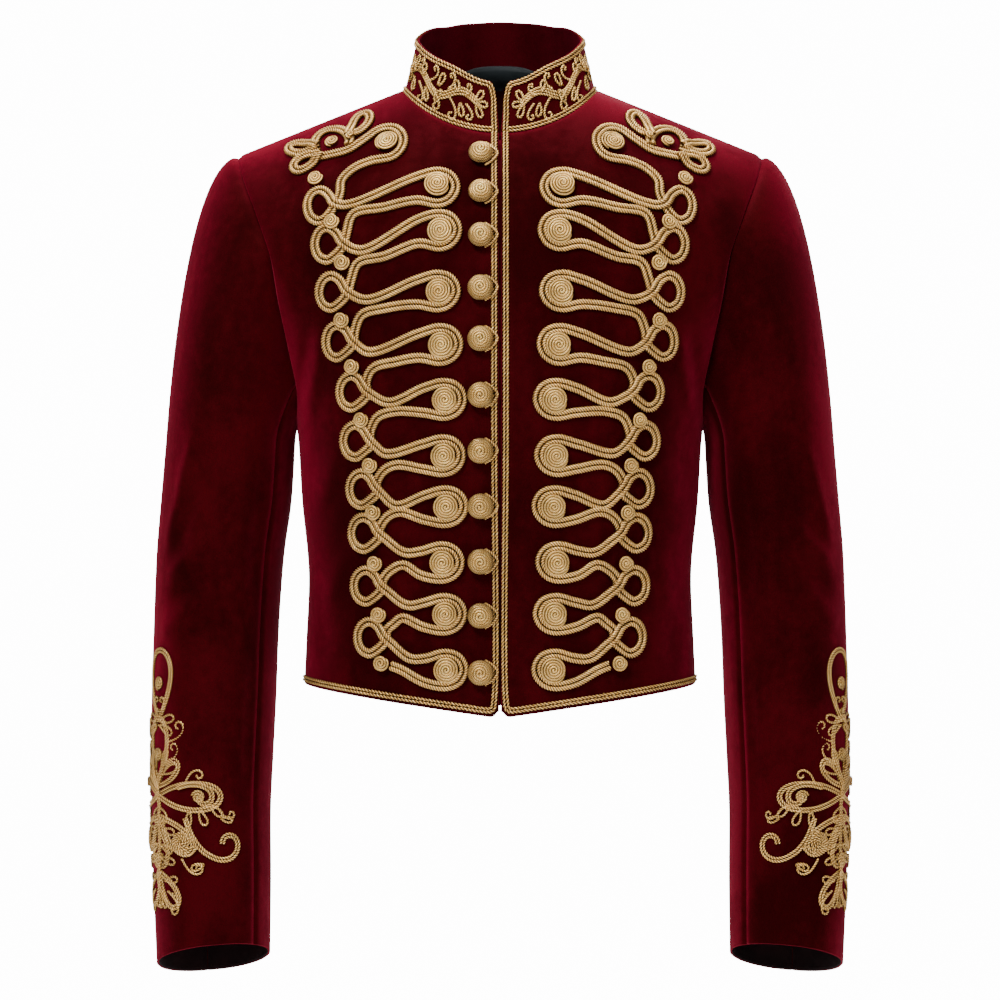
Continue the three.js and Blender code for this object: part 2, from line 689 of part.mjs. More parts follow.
const disc = (surface, [across, z]) => {
  const place = [across - DISC_SHIFT, z + DISC_SHIFT];
  return boss(surface, place, DISC, DISC_HIGH, 8);
};

const joined = (solids) => toGeometry(wasm.Manifold.union(solids).simplify(BRAID_TOLERANCE));

// The surface of one front, -1 for the wearer's right and 1 for the left.
const frontOf = (side) => (across, z) => {
  const point = onBody(Math.abs(across), z, false);
  return new THREE.Vector3(side * across, point.y, point.z);
};

// The strand of one frog: round its ring, down the dip, round its disc and back to the next ring.
function frogLine(frog, next) {
  const round = [-48, -88, -132, -180, -228, -270, -315].map((degrees) => [
    frog.ring[0] - RING.across * Math.cos(radians(degrees)),
    frog.ring[1] + RING.tall * Math.sin(radians(degrees)),
  ]);
  const fromRing = ([toward, up]) => [frog.ring[0] - toward, frog.ring[1] + up];
  const fromDisc = ([toward, up]) => [frog.disc[0] - toward, frog.disc[1] + up];
  const outward = [fromRing([13.5, 0]), frog.dip];
  const aroundDisc = [[-17, 9.5], [-1, 14], [8.8, 10.4], [12.8, 0.8], [8.8, -8.2], [0, -12.2], [-17, -9.8]];
  const tail = next
    ? [frog.crest, next.turn, [next.ring[0] - 13, next.ring[1] - 4]]
    : [[78, -470], [89, -465], LAST_STUD];
  return [...round, ...outward, ...aroundDisc.map(fromDisc), ...tail];
}

function frogging(side) {
  const surface = frontOf(side);
  const named = (row) => Object.fromEntries(row.map((place, index) => [frogColumns[index], place]));
  const frogs = frogRows.map(named);
  const solids = [...strand(surface, shoulderStrand, BRAID)];
  const narrow = { ...BRAID, wide: SHOULDER_BRAID };
  for (const line of shoulderLoops) solids.push(...strand(surface, line, narrow));
  solids.push(disc(surface, shoulderDisc));
  solids.push(boss(surface, shoulderStud, STUD, STUD_HIGH, 6));
  solids.push(boss(surface, LAST_STUD, STUD, STUD_HIGH, 6));
  frogs.forEach((frog, index) => {
    solids.push(...strand(surface, frogLine(frog, frogs[index + 1]), BRAID));
    solids.push(disc(surface, frog.disc));
    solids.push(boss(surface, frog.stud, STUD, STUD_HIGH, 6));
  });
  return joined(solids);
}

// Cord down one front edge, round the corner and along the hem to the side seam.
function edgeCord(side) {
  const reach = reading(torso, 'half', HEM_SIDE) - 1.5;
  const line = [[EDGE + TRIM_IN, -44], [EDGE + TRIM_IN, -280], [EDGE + TRIM_IN, -494]];
  line.push([EDGE + TRIM_IN + 1.5, -501]);
  for (let across = 14; across < reach; across += 16) line.push([across, hemline(across, false) + TRIM_IN]);
  line.push([reach, hemline(reach, false) + TRIM_IN]);
  return joined(strand(frontOf(side), line, TRIM));
}

function backHemCord() {
  const reach = reading(torso, 'half', HEM_SIDE) - 1.5;
  const surface = (across, z) => {
    const point = onBody(Math.abs(across), z, true);
    return new THREE.Vector3(-across, point.y, point.z);
  };
  const line = [];
  for (let step = -9; step <= 9; step += 1) {
    const across = (reach * step) / 9;
    line.push([across, hemline(Math.abs(across), true) + TRIM_IN]);
  }
  return joined(strand(surface, line, TRIM));
}

// The collar's outer face by distance round the neck from the right front end, and height.
function collarSurface() {
  const rows = collarPanel();
  const base = new THREE.CatmullRomCurve3(rows[0]);
  const length = base.getLength();
  const surface = (along, up) => {
    const place = base.getPointAt(clamp(along / length, 0, 1));
    return aboveNeck(place, up / COLLAR_HEIGHT);
  };
  return { surface, length };
}

function collarCord() {
  const { surface, length } = collarSurface();
  const low = 4;
  const high = COLLAR_HEIGHT - 3.6;
  const line = [[length / 2, low], [length - 30, low], [length - 9, low], [length - 4.6, low + 4]];
  line.push([length - 4.6, high - 9], [length - 8, high - 2], [length - 22, high]);
  for (let step = 1; step < 12; step += 1) line.push([mix(length - 22, 22, step / 12), high]);
  line.push([22, high], [8, high - 2], [4.6, high - 9], [4.6, low + 4]);
  line.push([9, low], [30, low], [length / 2, low]);
  return joined(strand(surface, line, TRIM));
}

function collarSprigOn(side) {
  const { surface, length } = collarSurface();
  const along = (distance) => (side < 0 ? distance : length - distance);
  const solids = [];
  for (const line of collarSprig) {
    solids.push(...strand(surface, line.map(([a, b]) => [along(a), b]), SPRIG));
  }
  return joined(solids);
}

// The lower sleeve's outer face, by distance round it from the knot's middle line, and height.
const sleeveOf = (side) => Object.assign((around, z) => {
  const angle = radians(CUFF_KNOT_ANGLE) + around / CUFF_KNOT_RADIUS;
  let low = 0;
  while (low < sleeveRings.length - 2 && onRing(sleeveRings[low + 1], angle).z > z) low += 1;
  const upper = onRing(sleeveRings[low], angle);
  const lower = onRing(sleeveRings[low + 1], angle);
  const point = upper.lerp(lower, (upper.z - z) / (upper.z - lower.z));
  return new THREE.Vector3(side * point.x, point.y, point.z);
}, { middle: sleeveRings[sleeveRings.length - 1].x });

function cuffKnot(side) {
  const surface = sleeveOf(side);
  const solids = [];
  for (const line of cuffStrands) {
    solids.push(...strand(surface, line, SPRIG));
    solids.push(...strand(surface, line.map(([around, z]) => [-around, z]), SPRIG));
  }
  solids.push(...strand(surface, cuffSpine, SPRIG));
  return joined(solids);
}

// ---------------------------------------------------------------- buttons and hidden strips

function button(index) {
  const radius = index < TOP_BUTTONS ? TOP_BUTTON : BUTTON;
  const { point, out } = frameOn(frontOf(-1), BUTTON_OUT, buttonHeights[index]);
  const ring = ([share, high]) => circle(point, out, radius * share, LIFT + high, BUTTON_SIDES);
  return loft(buttonProfile.map(ring));
}

// A strip of cloth that follows a surface at a depth behind it.
function strip(surface, acrosses, heights, depth, thick) {
  const layer = (offset) => heights.map((z) => acrosses.map((across) => {
    const { point, out } = frameOn(surface, across, z);
    return point.addScaledVector(out, -offset);
  }));
  return wall(layer(depth), layer(depth + thick));
}

function evenly(from, to, steps) {
  return Array.from({ length: steps + 1 }, (_, step) => mix(from, to, step / steps));
}

function underlap() {
  const surface = (across, z) => {
    const point = onBody(Math.abs(across), z, false);
    return new THREE.Vector3(across, point.y, z);
  };
  return strip(surface, evenly(-16, 16, 2), evenly(-48, -500, 8), CLOTH + 1, 1.2);
}

// The lining that shows inside the neck at the back, by its drop below the neckline.
function neckLining() {
  const surface = (across, drop) => {
    const point = onBody(Math.abs(across), neckline(across, true) - drop, true);
    return new THREE.Vector3(across, point.y, point.z);
  };
  return strip(surface, evenly(-50, 50, 4), evenly(1, 52, 2), CLOTH + 3.2, 1);
}

// ---------------------------------------------------------------- the jacket

const group = new THREE.Group();

function add(name, geometry, finish) {
  const { color, roughness, metalness } = finish;
  const material = new THREE.MeshStandardMaterial({ name: finish.name, color, roughness, metalness });
  const mesh = new THREE.Mesh(geometry, material);
  mesh.name = name;
  group.add(mesh);
}

const frontLeft = halfPanel(false);
const sleeveLeft = wholeSleeve();
const upperLeft = sleevePart(sleeveLeft, BACK_SEAM, FRONT_SEAM);
const underLeft = sleevePart(sleeveLeft, FRONT_SEAM, BACK_SEAM);
const clothPanels = [
  { name: 'front_right', rows: mirrored(frontLeft), flip: false, part: 'body' },
  { name: 'front_left', rows: frontLeft, flip: true, part: 'body' },
  { name: 'back', rows: backPanel(), flip: false, part: 'body' },
  { name: 'sleeve_upper_right', rows: mirrored(upperLeft), flip: false, part: 'sleeve' },
  { name: 'sleeve_upper_left', rows: upperLeft, flip: true, part: 'sleeve' },
  { name: 'sleeve_under_right', rows: mirrored(underLeft), flip: false, part: 'sleeve' },
  { name: 'sleeve_under_left', rows: underLeft, flip: true, part: 'sleeve' },
  { name: 'collar', rows: collarPanel(), flip: false, part: 'collar' },
];
seamedWalls(clothPanels).forEach((geometry, index) => add(clothPanels[index].name, geometry, VELVET));
add('underlap', underlap(), VELVET);
add('back_neck_lining', neckLining(), LINING);
for (const [side, name] of [[-1, 'right'], [1, 'left']]) {
  add(`frogging_${name}`, frogging(side), GOLD);
  add(`edge_cord_${name}`, edgeCord(side), GOLD);
  add(`collar_sprig_${name}`, collarSprigOn(side), GOLD);
  add(`cuff_knot_${name}`, cuffKnot(side), GOLD);
}
add('hem_cord_back', backHemCord(), GOLD);
add('collar_cord', collarCord(), GOLD);
buttonHeights.forEach((_, index) => {
  add(`button_${String(index + 1).padStart(2, '0')}`, button(index), GOLD);
});

export default group;
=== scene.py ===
"""A hussar jacket in burgundy velvet, worn shape: cloth panels, twisted gold cord and coiled buttons.

Sizes are in millimetres until a mesh is made. The front faces -Y and the wearer's left is +X.
"""

import math

import bpy
import mathutils
import numpy as np
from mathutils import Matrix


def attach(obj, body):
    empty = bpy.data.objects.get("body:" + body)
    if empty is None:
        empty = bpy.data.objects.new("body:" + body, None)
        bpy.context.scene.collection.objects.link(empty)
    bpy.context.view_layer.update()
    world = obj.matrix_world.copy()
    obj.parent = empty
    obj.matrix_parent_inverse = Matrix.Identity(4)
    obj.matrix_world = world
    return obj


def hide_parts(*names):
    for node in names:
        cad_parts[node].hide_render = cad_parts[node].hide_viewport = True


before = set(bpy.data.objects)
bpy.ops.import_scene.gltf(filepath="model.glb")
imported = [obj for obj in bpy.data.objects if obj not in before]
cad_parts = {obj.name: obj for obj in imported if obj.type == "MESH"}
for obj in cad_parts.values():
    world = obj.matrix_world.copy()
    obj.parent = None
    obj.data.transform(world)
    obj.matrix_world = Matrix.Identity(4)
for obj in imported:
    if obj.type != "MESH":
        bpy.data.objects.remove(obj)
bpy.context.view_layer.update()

# ---------------------------------------------------------------- sizes of the jacket

CLOTH = 1.8  # velvet and its backing
NECK_HALF = 78  # half width of the neck opening
NECK_DROP = 41
NECK_RISE = 22
NAPE_RISE = 44.6
NAPE_SLOPE = 50
SHOULDER_SLOPE = 0.4
ROUND_FRONT = 130
ROUND_BACK = 110
FULLNESS = 2.4

EDGE = 1.6  # half the opening at the centre front
HEM_FRONT = -508
HEM_BACK = -500
HEM_SIDE = -485
HEM_CORNER = 5
ARMPIT = -275

COLLAR_HEIGHT = 40
COLLAR_BACK_EXTRA = 0.2
COLLAR_REAR_SIDE_EXTRA = 1.6
COLLAR_SIDE_EXTRA = 5.5
COLLAR_FRONT_EXTRA = 4.5
COLLAR_LEAN = 10
COLLAR_SPREAD = 3
COLLAR_CORNER = 6


def columns(names, rows):
    """A table as one array for each named column."""
    return dict(zip(names.split(), np.array(rows, float).T))


TORSO = columns("z half front back", [
    (-540, 161.5, 104, 100), (-486, 160, 104, 98), (-440, 158, 105.5, 93), (-394, 156.5, 108, 89),
    (-336, 162, 114, 94), (-271, 167, 119, 103), (-207, 184, 119, 108), (-139, 224, 113, 107),
    (-87, 246, 106, 102), (-40, 262, 99, 98), (60, 276, 92, 94),
])
ARMHOLE = columns("z front back", [
    (-54.4, 214, 214), (-60, 213, 213), (-77, 208, 208.5), (-105, 197, 201), (-140, 185, 192),
    (-178, 179, 186), (-214, 172, 178), (-244, 166, 170), (-265, 165.4, 166.6),
])
SLEEVE = columns("z x half y deep tip", [
    (-290, 220.8, 52.7, 0, 68, 0), (-336, 224.3, 53.3, 2, 66, 0.04), (-376, 228.8, 52.2, 2, 64, 0.08),
    (-412, 231, 51.4, 0, 62, 0.11), (-450, 232.5, 50.9, -3, 60.5, 0.15), (-495, 233.6, 50.7, -8, 58, 0.2),
    (-541, 234.4, 49.6, -15, 55.5, 0.25), (-587, 234.6, 48.2, -23, 53, 0.29),
    (-640, 233.2, 47.6, -33, 50.5, 0.32), (-708, 231, 45.6, -46, 49, 0.33),
])
NECK_FRONT = [EDGE, 5.5, 20, 38, 54, 66, 73, 76.8]
NECK_BACK = [0, 25, 48, 67]
SHOULDER_SEAM = [NECK_HALF, 100, 124, 148, 171, 193, 214]
SIDE_ROWS = 6
SLEEVE_ROUND = 2.15
SLEEVE_COLUMNS = 18
FRONT_SEAM = 7
BACK_SEAM = 14
HEAD_STEPS = [0, 0.1, 0.24, 0.44, 0.7]
HEAD_SPRING = 0.44
HEAD_FALL = 1.15
SLEEVE_TUCK = 2.2  # how far the sleeve's sewn edge lies under the body's
CUFF_RISE = 9  # of the cuff's hem at its inner side
CUFF_DROP = 2

# Creases: where each starts and ends, its half width and its depth, out of the cloth where positive.
FRONT_CREASES = {
    -1: [
        ((150, -196), (166, -272), 6, -4), ((139, -186), (158, -290), 6, 3), ((124, -288), (152, -360), 7, 2.4),
        ((143, -286), (160, -350), 6, -2.2), ((122, -366), (146, -440), 8, 2.4), ((112, -330), (136, -400), 9, -2),
        ((148, -380), (138, -476), 7, -2), ((186, -110), (164, -200), 9, 1.8), ((190, -70), (150, -100), 9, -1.4),
    ],
    1: [
        ((150, -200), (166, -270), 6, -3.8), ((140, -190), (158, -284), 6, 2.8), ((120, -298), (150, -352), 8, 2.2),
        ((144, -290), (158, -346), 6, -2), ((126, -372), (148, -446), 7, 2.2), ((110, -344), (138, -396), 9, -2),
        ((146, -392), (134, -478), 7, -2), ((186, -122), (160, -206), 9, 1.6), ((186, -78), (152, -96), 9, -1.4),
    ],
}
BACK_CREASES = [
    ((150, -262), (131, -400), 11, -3.5), ((131, -330), (144, -470), 10, 3),
    ((146, -400), (137, -480), 8, -2.5), ((60, -330), (20, -420), 14, -2.2),
    ((90, -380), (50, -450), 12, 1.8), ((150, -150), (120, -280), 16, 2),
    ((170, -200), (140, -310), 12, -2),
]
# Creases of a sleeve, by the angle in degrees from its outer side over its front, and height.
SLEEVE_CREASES = {
    -1: [
        ((68, -268), (38, -392), 6, 2.4), ((82, -276), (54, -388), 9, -2.8), ((40, -404), (98, -362), 7, 2.6),
        ((46, -420), (104, -382), 9, -3.2), ((30, -446), (84, -424), 9, 2), ((92, -424), (128, -470), 8, -2.2),
        ((250, -380), (300, -440), 18, -3), ((280, -450), (240, -500), 16, -2.5), ((122, -300), (130, -430), 7, -2.2),
        ((132, -420), (126, -600), 6, -1.6), ((84, -500), (48, -560), 12, 1.6), ((100, -560), (74, -650), 12, -1.6),
    ],
    1: [
        ((70, -274), (40, -386), 6, 2.2), ((84, -284), (58, -380), 9, -2.6), ((38, -396), (94, -352), 7, 2.4),
        ((44, -412), (100, -372), 9, -3), ((34, -438), (86, -414), 9, 2.2), ((90, -430), (126, -480), 8, -2),
        ((250, -380), (300, -440), 18, -3), ((280, -450), (240, -500), 16, -2.5), ((120, -310), (128, -436), 8, -2.4),
        ((130, -450), (124, -620), 6, -1.5), ((86, -490), (52, -548), 12, 1.8), ((96, -570), (70, -660), 12, -1.5),
    ],
}

# Frogging, distance from the middle of the body and height: the coiled disc, the ring, the dip
# between them, the crest below the disc, the turn above the ring, and the stud above the ring.
FROGS = [
    ((49.7, -87.0), (143.0, -102.5), (116.0, -101.6), (92.0, -105.4), (127, -86), (146, -81)),
    ((47, -124), (136.5, -133.4), (109, -139), (91, -144), (121, -126), (132.3, -116.2)),
    ((48, -172), (133, -171), (105, -178), (91, -185), (117, -162), (124, -148)),
    ((46, -214), (128, -210), (103, -219), (81, -227), (114, -203), (124, -193)),
    ((43, -257), (116.6, -250), (87, -259), (82, -266), (105, -243), (115.6, -230)),
    ((44, -301), (113.6, -289), (90, -299), (81, -308), (102, -285), (108.2, -272)),
    ((42, -341), (108.8, -327), (82, -340), (79, -345), (97, -323), (101.5, -308)),
    ((45, -385), (107.2, -362), (75, -377), (76, -387), (95, -360), (99, -345)),
    ((43, -426), (105.6, -404), (73, -419), (77, -429), (92, -399), (97.8, -385.5)),
    ((42, -470), (102.8, -445), (71, -461), (77, -469), (89, -439), (95, -426.5)),
]
RING_ACROSS = 9.5
RING_TALL = 12.8
AROUND_DISC = [(-17, 9), (-1, 13), (9.2, 9.8), (13.7, 0.6), (9.4, -8.8), (0.4, -12.9), (-17, -10.2)]
FIRST_LOOP = (1.2, -2.8)  # how far the first loop sits off its disc, towards the opening and up
ARCH_IN = 5.6  # of the strand's bend between a crest and the next turn, in from the turn and down
ARCH_DOWN = 4.8
LAST_STUD = (93, -465)
SHOULDER_DISC = (89.7, -51.7)
SHOULDER_STUD = (134.1, -49.7)
SHOULDER_JOIN = (118.4, -46.6)
SHOULDER_TILT = 20  # degrees that the first loop's outer end hangs lower than in the rows below
SHOULDER_START = [(144, -62), (133, -60), (121, -57)]
SHOULDER_END = [(116, -73), (125.5, -83), (126.5, -94)]
SHOULDER_ARCH = (134, -50.5, 14.5, 12.5)  # across and height of its middle, half width, rise
# Loops of the shoulder knot.
SHOULDER_LOOPS = columns("across height length width lean", [
    (120, -45, 24, 11, 126), (146, -54, 24, 9, 2), (143, -60, 24, 10, -26),
])

BUTTON_OUT = 15.4
BUTTON_HEIGHTS = [-63, -94, -128, -169.5, -209.5, -253.5, -297, -340.5, -384, -427, -472]
BUTTON = 10.1
TOP_BUTTON = 9.7

# Sprig on each collar end, a running stem with leaves and scrolls. Distance from the front end
# and height above the neck seam; leans are in degrees from the way to the back, up.
STEM_FROM, STEM_TO = 95, 17
STEM_HEIGHT = 20
STEM_WAVE = 5.5
STEM_TURNS = 1.5
STEM_GAPS = (-2.3, 0, 2.3)
SPRIG_LEAVES = columns("across height length width lean", [
    (95, 20, 9, 4.5, 0), (93, 21, 12, 5, 48), (93, 19, 12, 5, -48), (88, 22, 12, 5, 92), (88, 17, 11, 5, -92),
    (74, 23, 9, 4.4, 74), (70, 15, 10, 4.6, -112), (56, 21, 11, 4.6, 112), (52, 19, 11, 4.6, -64),
    (36, 23, 8.5, 4.4, 70), (33, 16, 10, 4.6, -104), (18, 20, 9, 4.5, 180), (19, 21, 11, 4.6, 118),
    (19, 19, 11, 4.6, -118),
])
SPRIG_SCROLLS = columns("across height length lean bend curl", [
    (84, 23, 22, 150, -30, -330), (80, 16, 27, -150, 30, 330), (66, 22, 24, 150, -40, -330),
    (62, 17, 27, -155, 30, 330), (46, 22, 23, 140, -30, -330), (44, 17, 29, -145, 40, 330),
    (29, 23, 18, 140, -30, -330), (28, 17, 22, -145, 30, 330),
])

# Cuff knot: distance round the sleeve from its middle line, towards the front, and height.
CUFF_KNOT_ANGLE = 38.5
CUFF_KNOT_RADIUS = 52
# Braid loops and scrolls on one side of that line, made again on the other side.
CUFF_LOOPS = columns("across height length width lean", [
    (0, -573, 58, 21, 0), (2, -590, 42, 17, -38), (0, -634, 32, 15, -52), (0, -566, 30, 12, 42),
])
CUFF_SCROLLS = columns("across height length lean bend curl", [
    (30, -590, 88, -72, 50, 300), (24, -566, 52, 20, -50, -330), (4, -600, 50, -60, -20, -330),
])
# Loops that lie on the line itself, and the spine down it.
CUFF_MIDDLE_LOOPS = columns("across height length width lean", [(0, -514, 57, 29, 90), (0, -566, 55, 23, 90)])
CUFF_SPINE = [(0, -566), (0, -600), (0, -650)]
CUFF_LEAVES = columns("across height length width lean", [
    (2, -514, 17, 6, 12), (2, -517, 16, 6, -24), (4, -552, 17, 6, 64), (6, -556, 18, 6, 24), (34, -584, 13, 5, -100),
    (42, -583, 13, 5, -70), (50, -580, 12, 5, -42), (6, -600, 13, 5, -8), (2, -612, 15, 5, -20), (2, -622, 17, 5, -12),
    (8, -640, 13, 5, 8), (2, -650, 12, 5, -68), (40, -612, 12, 5, -150), (45, -626, 11, 5, -160),
    (34, -598, 13, 5, -140), (58, -590, 10, 4.5, -10),
])
CUFF_CURLS = columns("across height length lean bend curl", [
    (12, -530, 38, 10, 40, 330), (10, -548, 34, 24, 20, 330), (30, -563, 30, 70, -40, -330),
    (10, -648, 34, -30, -30, -330), (26, -622, 34, -60, 20, 330), (1, -508, 24, 40, 30, 330),
    (56, -582, 26, -60, 30, 330), (2, -583, 24, -20, -40, -330),
])
# Filled spirals on the cuff.
CUFF_SPIRALS = columns("across height wide tall", [
    (0, -484, 6.5, 6.5), (0, -541, 6.5, 6.5), (41, -573, 6, 6), (26, -609, 9.5, 9.5), (17, -650, 3, 3),
    (0, -505, 3, 3), (8, -592, 3, 3), (0, -660, 3.5, 3.5),
])

THICK_CORD = 1.8  # radius of each cord of the frogging
THIN_CORD = 1.05
COIL_CORD = 1.05
BRAID_CORD = 0.98
THREAD_CORD = 0.9
THICK_SPREAD = 1.17  # of two cords laid side by side, as a share of their radius
THIN_SPREAD = 1.27

# ---------------------------------------------------------------- the jacket's surfaces


def reading(table, column, z):
    """Smooth reading of one column of a table whose rows are sorted by z."""
    heights, values = table["z"], table[column]
    if heights[0] > heights[-1]:
        heights, values = heights[::-1], values[::-1]
    slopes = np.gradient(values) / np.gradient(heights)
    at = np.clip(z, heights[0], heights[-1])
    low = np.clip(np.searchsorted(heights, at) - 1, 0, len(heights) - 2)
    span = heights[low + 1] - heights[low]
    t = (at - heights[low]) / span
    rise = 3 * t**2 - 2 * t**3
    return ((1 - rise) * values[low] + rise * values[low + 1]
            + (t**3 - 2 * t**2 + t) * span * slopes[low] + (t**3 - t**2) * span * slopes[low + 1])


def through(points, at, closed=False):
    """Smooth line through rows of points, read at fractions of the row number."""
    points = np.asarray(points, float)
    count = len(points)
    at = np.asarray(at, float)
    low = np.floor(at).astype(int) if closed else np.clip(np.floor(at).astype(int), 0, count - 2)
    t = (at - low).reshape(-1, *[1] * (points.ndim - 1))

    def row(index):
        return points[index % count] if closed else points[np.clip(index, 0, count - 1)]

    before, start, end, after = (row(low + step) for step in (-1, 0, 1, 2))
    rise = 3 * t**2 - 2 * t**3
    return ((1 - rise) * start + rise * end
            + (t**3 - 2 * t**2 + t) * (end - before) / 2 + (t**3 - t**2) * (after - start) / 2)


def smooth_line(points, step=1.0):
    """Even points along a curve that passes through the given ones without swinging wide."""
    points = np.asarray(points, float)
    points = np.vstack([2 * points[0] - points[1], points, 2 * points[-1] - points[-2]])
    made = []
    for p0, p1, p2, p3 in zip(points, points[1:], points[2:], points[3:]):
        gaps = [max(np.linalg.norm(b - a), 1e-6) ** 0.5 for a, b in ((p0, p1), (p1, p2), (p2, p3))]
        t0, t1, t2, t3 = np.cumsum([0, *gaps])
        t = np.linspace(t1, t2, 24, endpoint=False)[:, None]
        a1 = ((t1 - t) * p0 + (t - t0) * p1) / (t1 - t0)
        a2 = ((t2 - t) * p1 + (t - t1) * p2) / (t2 - t1)
        a3 = ((t3 - t) * p2 + (t - t2) * p3) / (t3 - t2)
        b1 = ((t2 - t) * a1 + (t - t0) * a2) / (t2 - t0)
        b2 = ((t3 - t) * a2 + (t - t1) * a3) / (t3 - t1)
        made.append(((t2 - t) * b1 + (t - t1) * b2) / (t2 - t1))
    return evenly_spaced(np.vstack([*made, points[-2]]), step)


def evenly_spaced(line, step):
    """The same line with points a fixed distance apart."""
    reach = np.concatenate([[0], np.cumsum(np.linalg.norm(np.diff(line, axis=0), axis=1))])
    at = np.linspace(0, reach[-1], max(int(round(reach[-1] / step)), 2) + 1)
    return np.stack([np.interp(at, reach, line[:, axis]) for axis in range(line.shape[1])], axis=1)


def turned(places, foot, degrees):
    """Places turned about the origin and then moved to a foot."""
    c, s = math.cos(math.radians(degrees)), math.sin(math.radians(degrees))
    return [(foot[0] + a * c - b * s, foot[1] + a * s + b * c) for a, b in places]


def cord_loops(table):
    """Drop-shaped loops, each out of a foot and back to it."""
    turn = np.linspace(0, 2 * np.pi, 17)
    out = (1 - np.cos(turn)) / 2
    aside = np.sin(turn) * np.sqrt(out) / 1.54
    return [turned(zip(length * out, width * aside), (a, b), lean)
            for a, b, length, width, lean in zip(*table.values())]


def cord_scrolls(table):
    """Stems that bend on their way and roll up at their ends."""
    share = (np.arange(24) + 0.5) / 24
    made = []
    for a, b, length, lean, bend, curl in zip(*table.values()):
        heading = np.radians(lean + bend * share + curl * share**3)
        made.append([(a, b), *zip(a + np.cumsum(np.cos(heading)) * length / 24,
                                  b + np.cumsum(np.sin(heading)) * length / 24)])
    return made


def running_stem():
    """The sprig's stem: close cords side by side along a wave."""
    share = np.linspace(0, 1, 25)
    along = STEM_FROM + (STEM_TO - STEM_FROM) * share
    up = STEM_HEIGHT + STEM_WAVE * np.sin(2 * np.pi * STEM_TURNS * share)
    return [list(zip(along, up + gap)) for gap in STEM_GAPS]


def mirrored(lines):
    return [*lines, *[[(-a, b) for a, b in line] for line in lines]]


def ridge(across, back):
    """Height at which the body's surface closes over the shoulder."""
    r = np.clip((NECK_HALF - across) / NECK_HALF, 0, None)
    if back:
        inside = NAPE_SLOPE * (r**3 - 2 * r**2 + r) + NAPE_RISE * (3 * r**2 - 2 * r**3)
    else:
        inside = SHOULDER_SLOPE * NECK_HALF * r * np.exp(-r / 0.12)
    return np.where(across >= NECK_HALF, -SHOULDER_SLOPE * (across - NECK_HALF), inside)


def crease_depth(creases, a, b, scale=1.0):
    """Depth of soft creases at places (a, b)."""
    depth = np.zeros(np.broadcast(a, b).shape)
    for start, end, half, deep in creases:
        run = np.array([(end[0] - start[0]) * scale, end[1] - start[1]])
        length = np.hypot(*run)
        off_a, off_b = (a - start[0]) * scale, b - start[1]
        along = (off_a * run[0] + off_b * run[1]) / length
        aside = (off_a * run[1] - off_b * run[0]) / length
        fade = np.clip(np.minimum(along, length - along) / (0.3 * length), 0, 1)
        depth += deep * fade**2 * (3 - 2 * fade) * np.exp(-((aside / half) ** 2))
    return depth


def on_body(across, z, back, side):
    """Places on the cloth of one side of the body."""
    across, z = np.broadcast_arrays(np.asarray(across, float), np.asarray(z, float))
    half = reading(TORSO, "half", z)
    deep = reading(TORSO, "back" if back else "front", z)
    share = np.clip(across / half, 0, 1)
    drop = np.clip((ridge(across, back) - z) / (ROUND_BACK if back else ROUND_FRONT), 0, 1)
    depth = deep * (1 - share**FULLNESS) ** (1 / FULLNESS) * np.sqrt(1 - (1 - drop) ** 2)
    creases = BACK_CREASES if back else FRONT_CREASES[side]
    out = depth + crease_depth(creases, across, z) * np.clip(depth / 40, 0, 1)
    return np.stack([side * across, out if back else -out, z], axis=-1)


def by_angles(turn, lean, back, side):
    """The same places by their turn round the body and their lean up over the shoulder."""
    round_over = ROUND_BACK if back else ROUND_FRONT
    quarter = np.pi / 2
    fall = round_over * np.where(lean < quarter, 1 - np.cos(lean), 1 + lean - quarter)
    across = np.full(np.shape(fall), 150.0)
    for _ in range(14):
        z = ridge(across, back) - fall
        across = reading(TORSO, "half", z) * np.sin(turn) ** (2 / FULLNESS)
    return on_body(across, z, back, side)


def lean_at(across, z, back):
    round_over = ROUND_BACK if back else ROUND_FRONT
    fall = np.clip(ridge(across, back) - z, 0, None) / round_over
    return np.where(fall < 1, np.arccos(np.clip(1 - fall, -1, 1)), np.pi / 2 + fall - 1)


def turn_at(across, z):
    return np.arcsin(np.clip(across / reading(TORSO, "half", z), 0, 1) ** (FULLNESS / 2))


def neckline(across, back):
    inside = np.clip(1 - (across / NECK_HALF) ** 2, 0, 1)
    return NECK_RISE * inside if back else -NECK_DROP * inside**0.75


def hemline(across, back):
    middle = HEM_BACK if back else HEM_FRONT
    corner = 0 if back else HEM_CORNER * np.exp(-(((across - EDGE) / 3) ** 2))
    share = across / reading(TORSO, "half", HEM_SIDE)
    return middle + (HEM_SIDE - middle) * share + corner


def front_cloth(side):
    return lambda across, z: on_body(across, z, False, side)


def back_cloth(across, z):
    return on_body(np.abs(across), z, True, 1) * np.stack(
        [np.where(np.asarray(across) < 0, -1.0, 1.0)] + [np.ones(np.shape(across))] * 2, axis=-1)


def outer_ends(back):
    """Side seam and armhole from the hem up."""
    heights = [HEM_SIDE + (ARMPIT - HEM_SIDE) * row / SIDE_ROWS for row in range(SIDE_ROWS + 1)]
    ends = [(float(reading(TORSO, "half", z)), z) for z in heights]
    around = ARMHOLE["back" if back else "front"]
    return np.array(ends + [(around[row], ARMHOLE["z"][row]) for row in reversed(range(len(around)))])


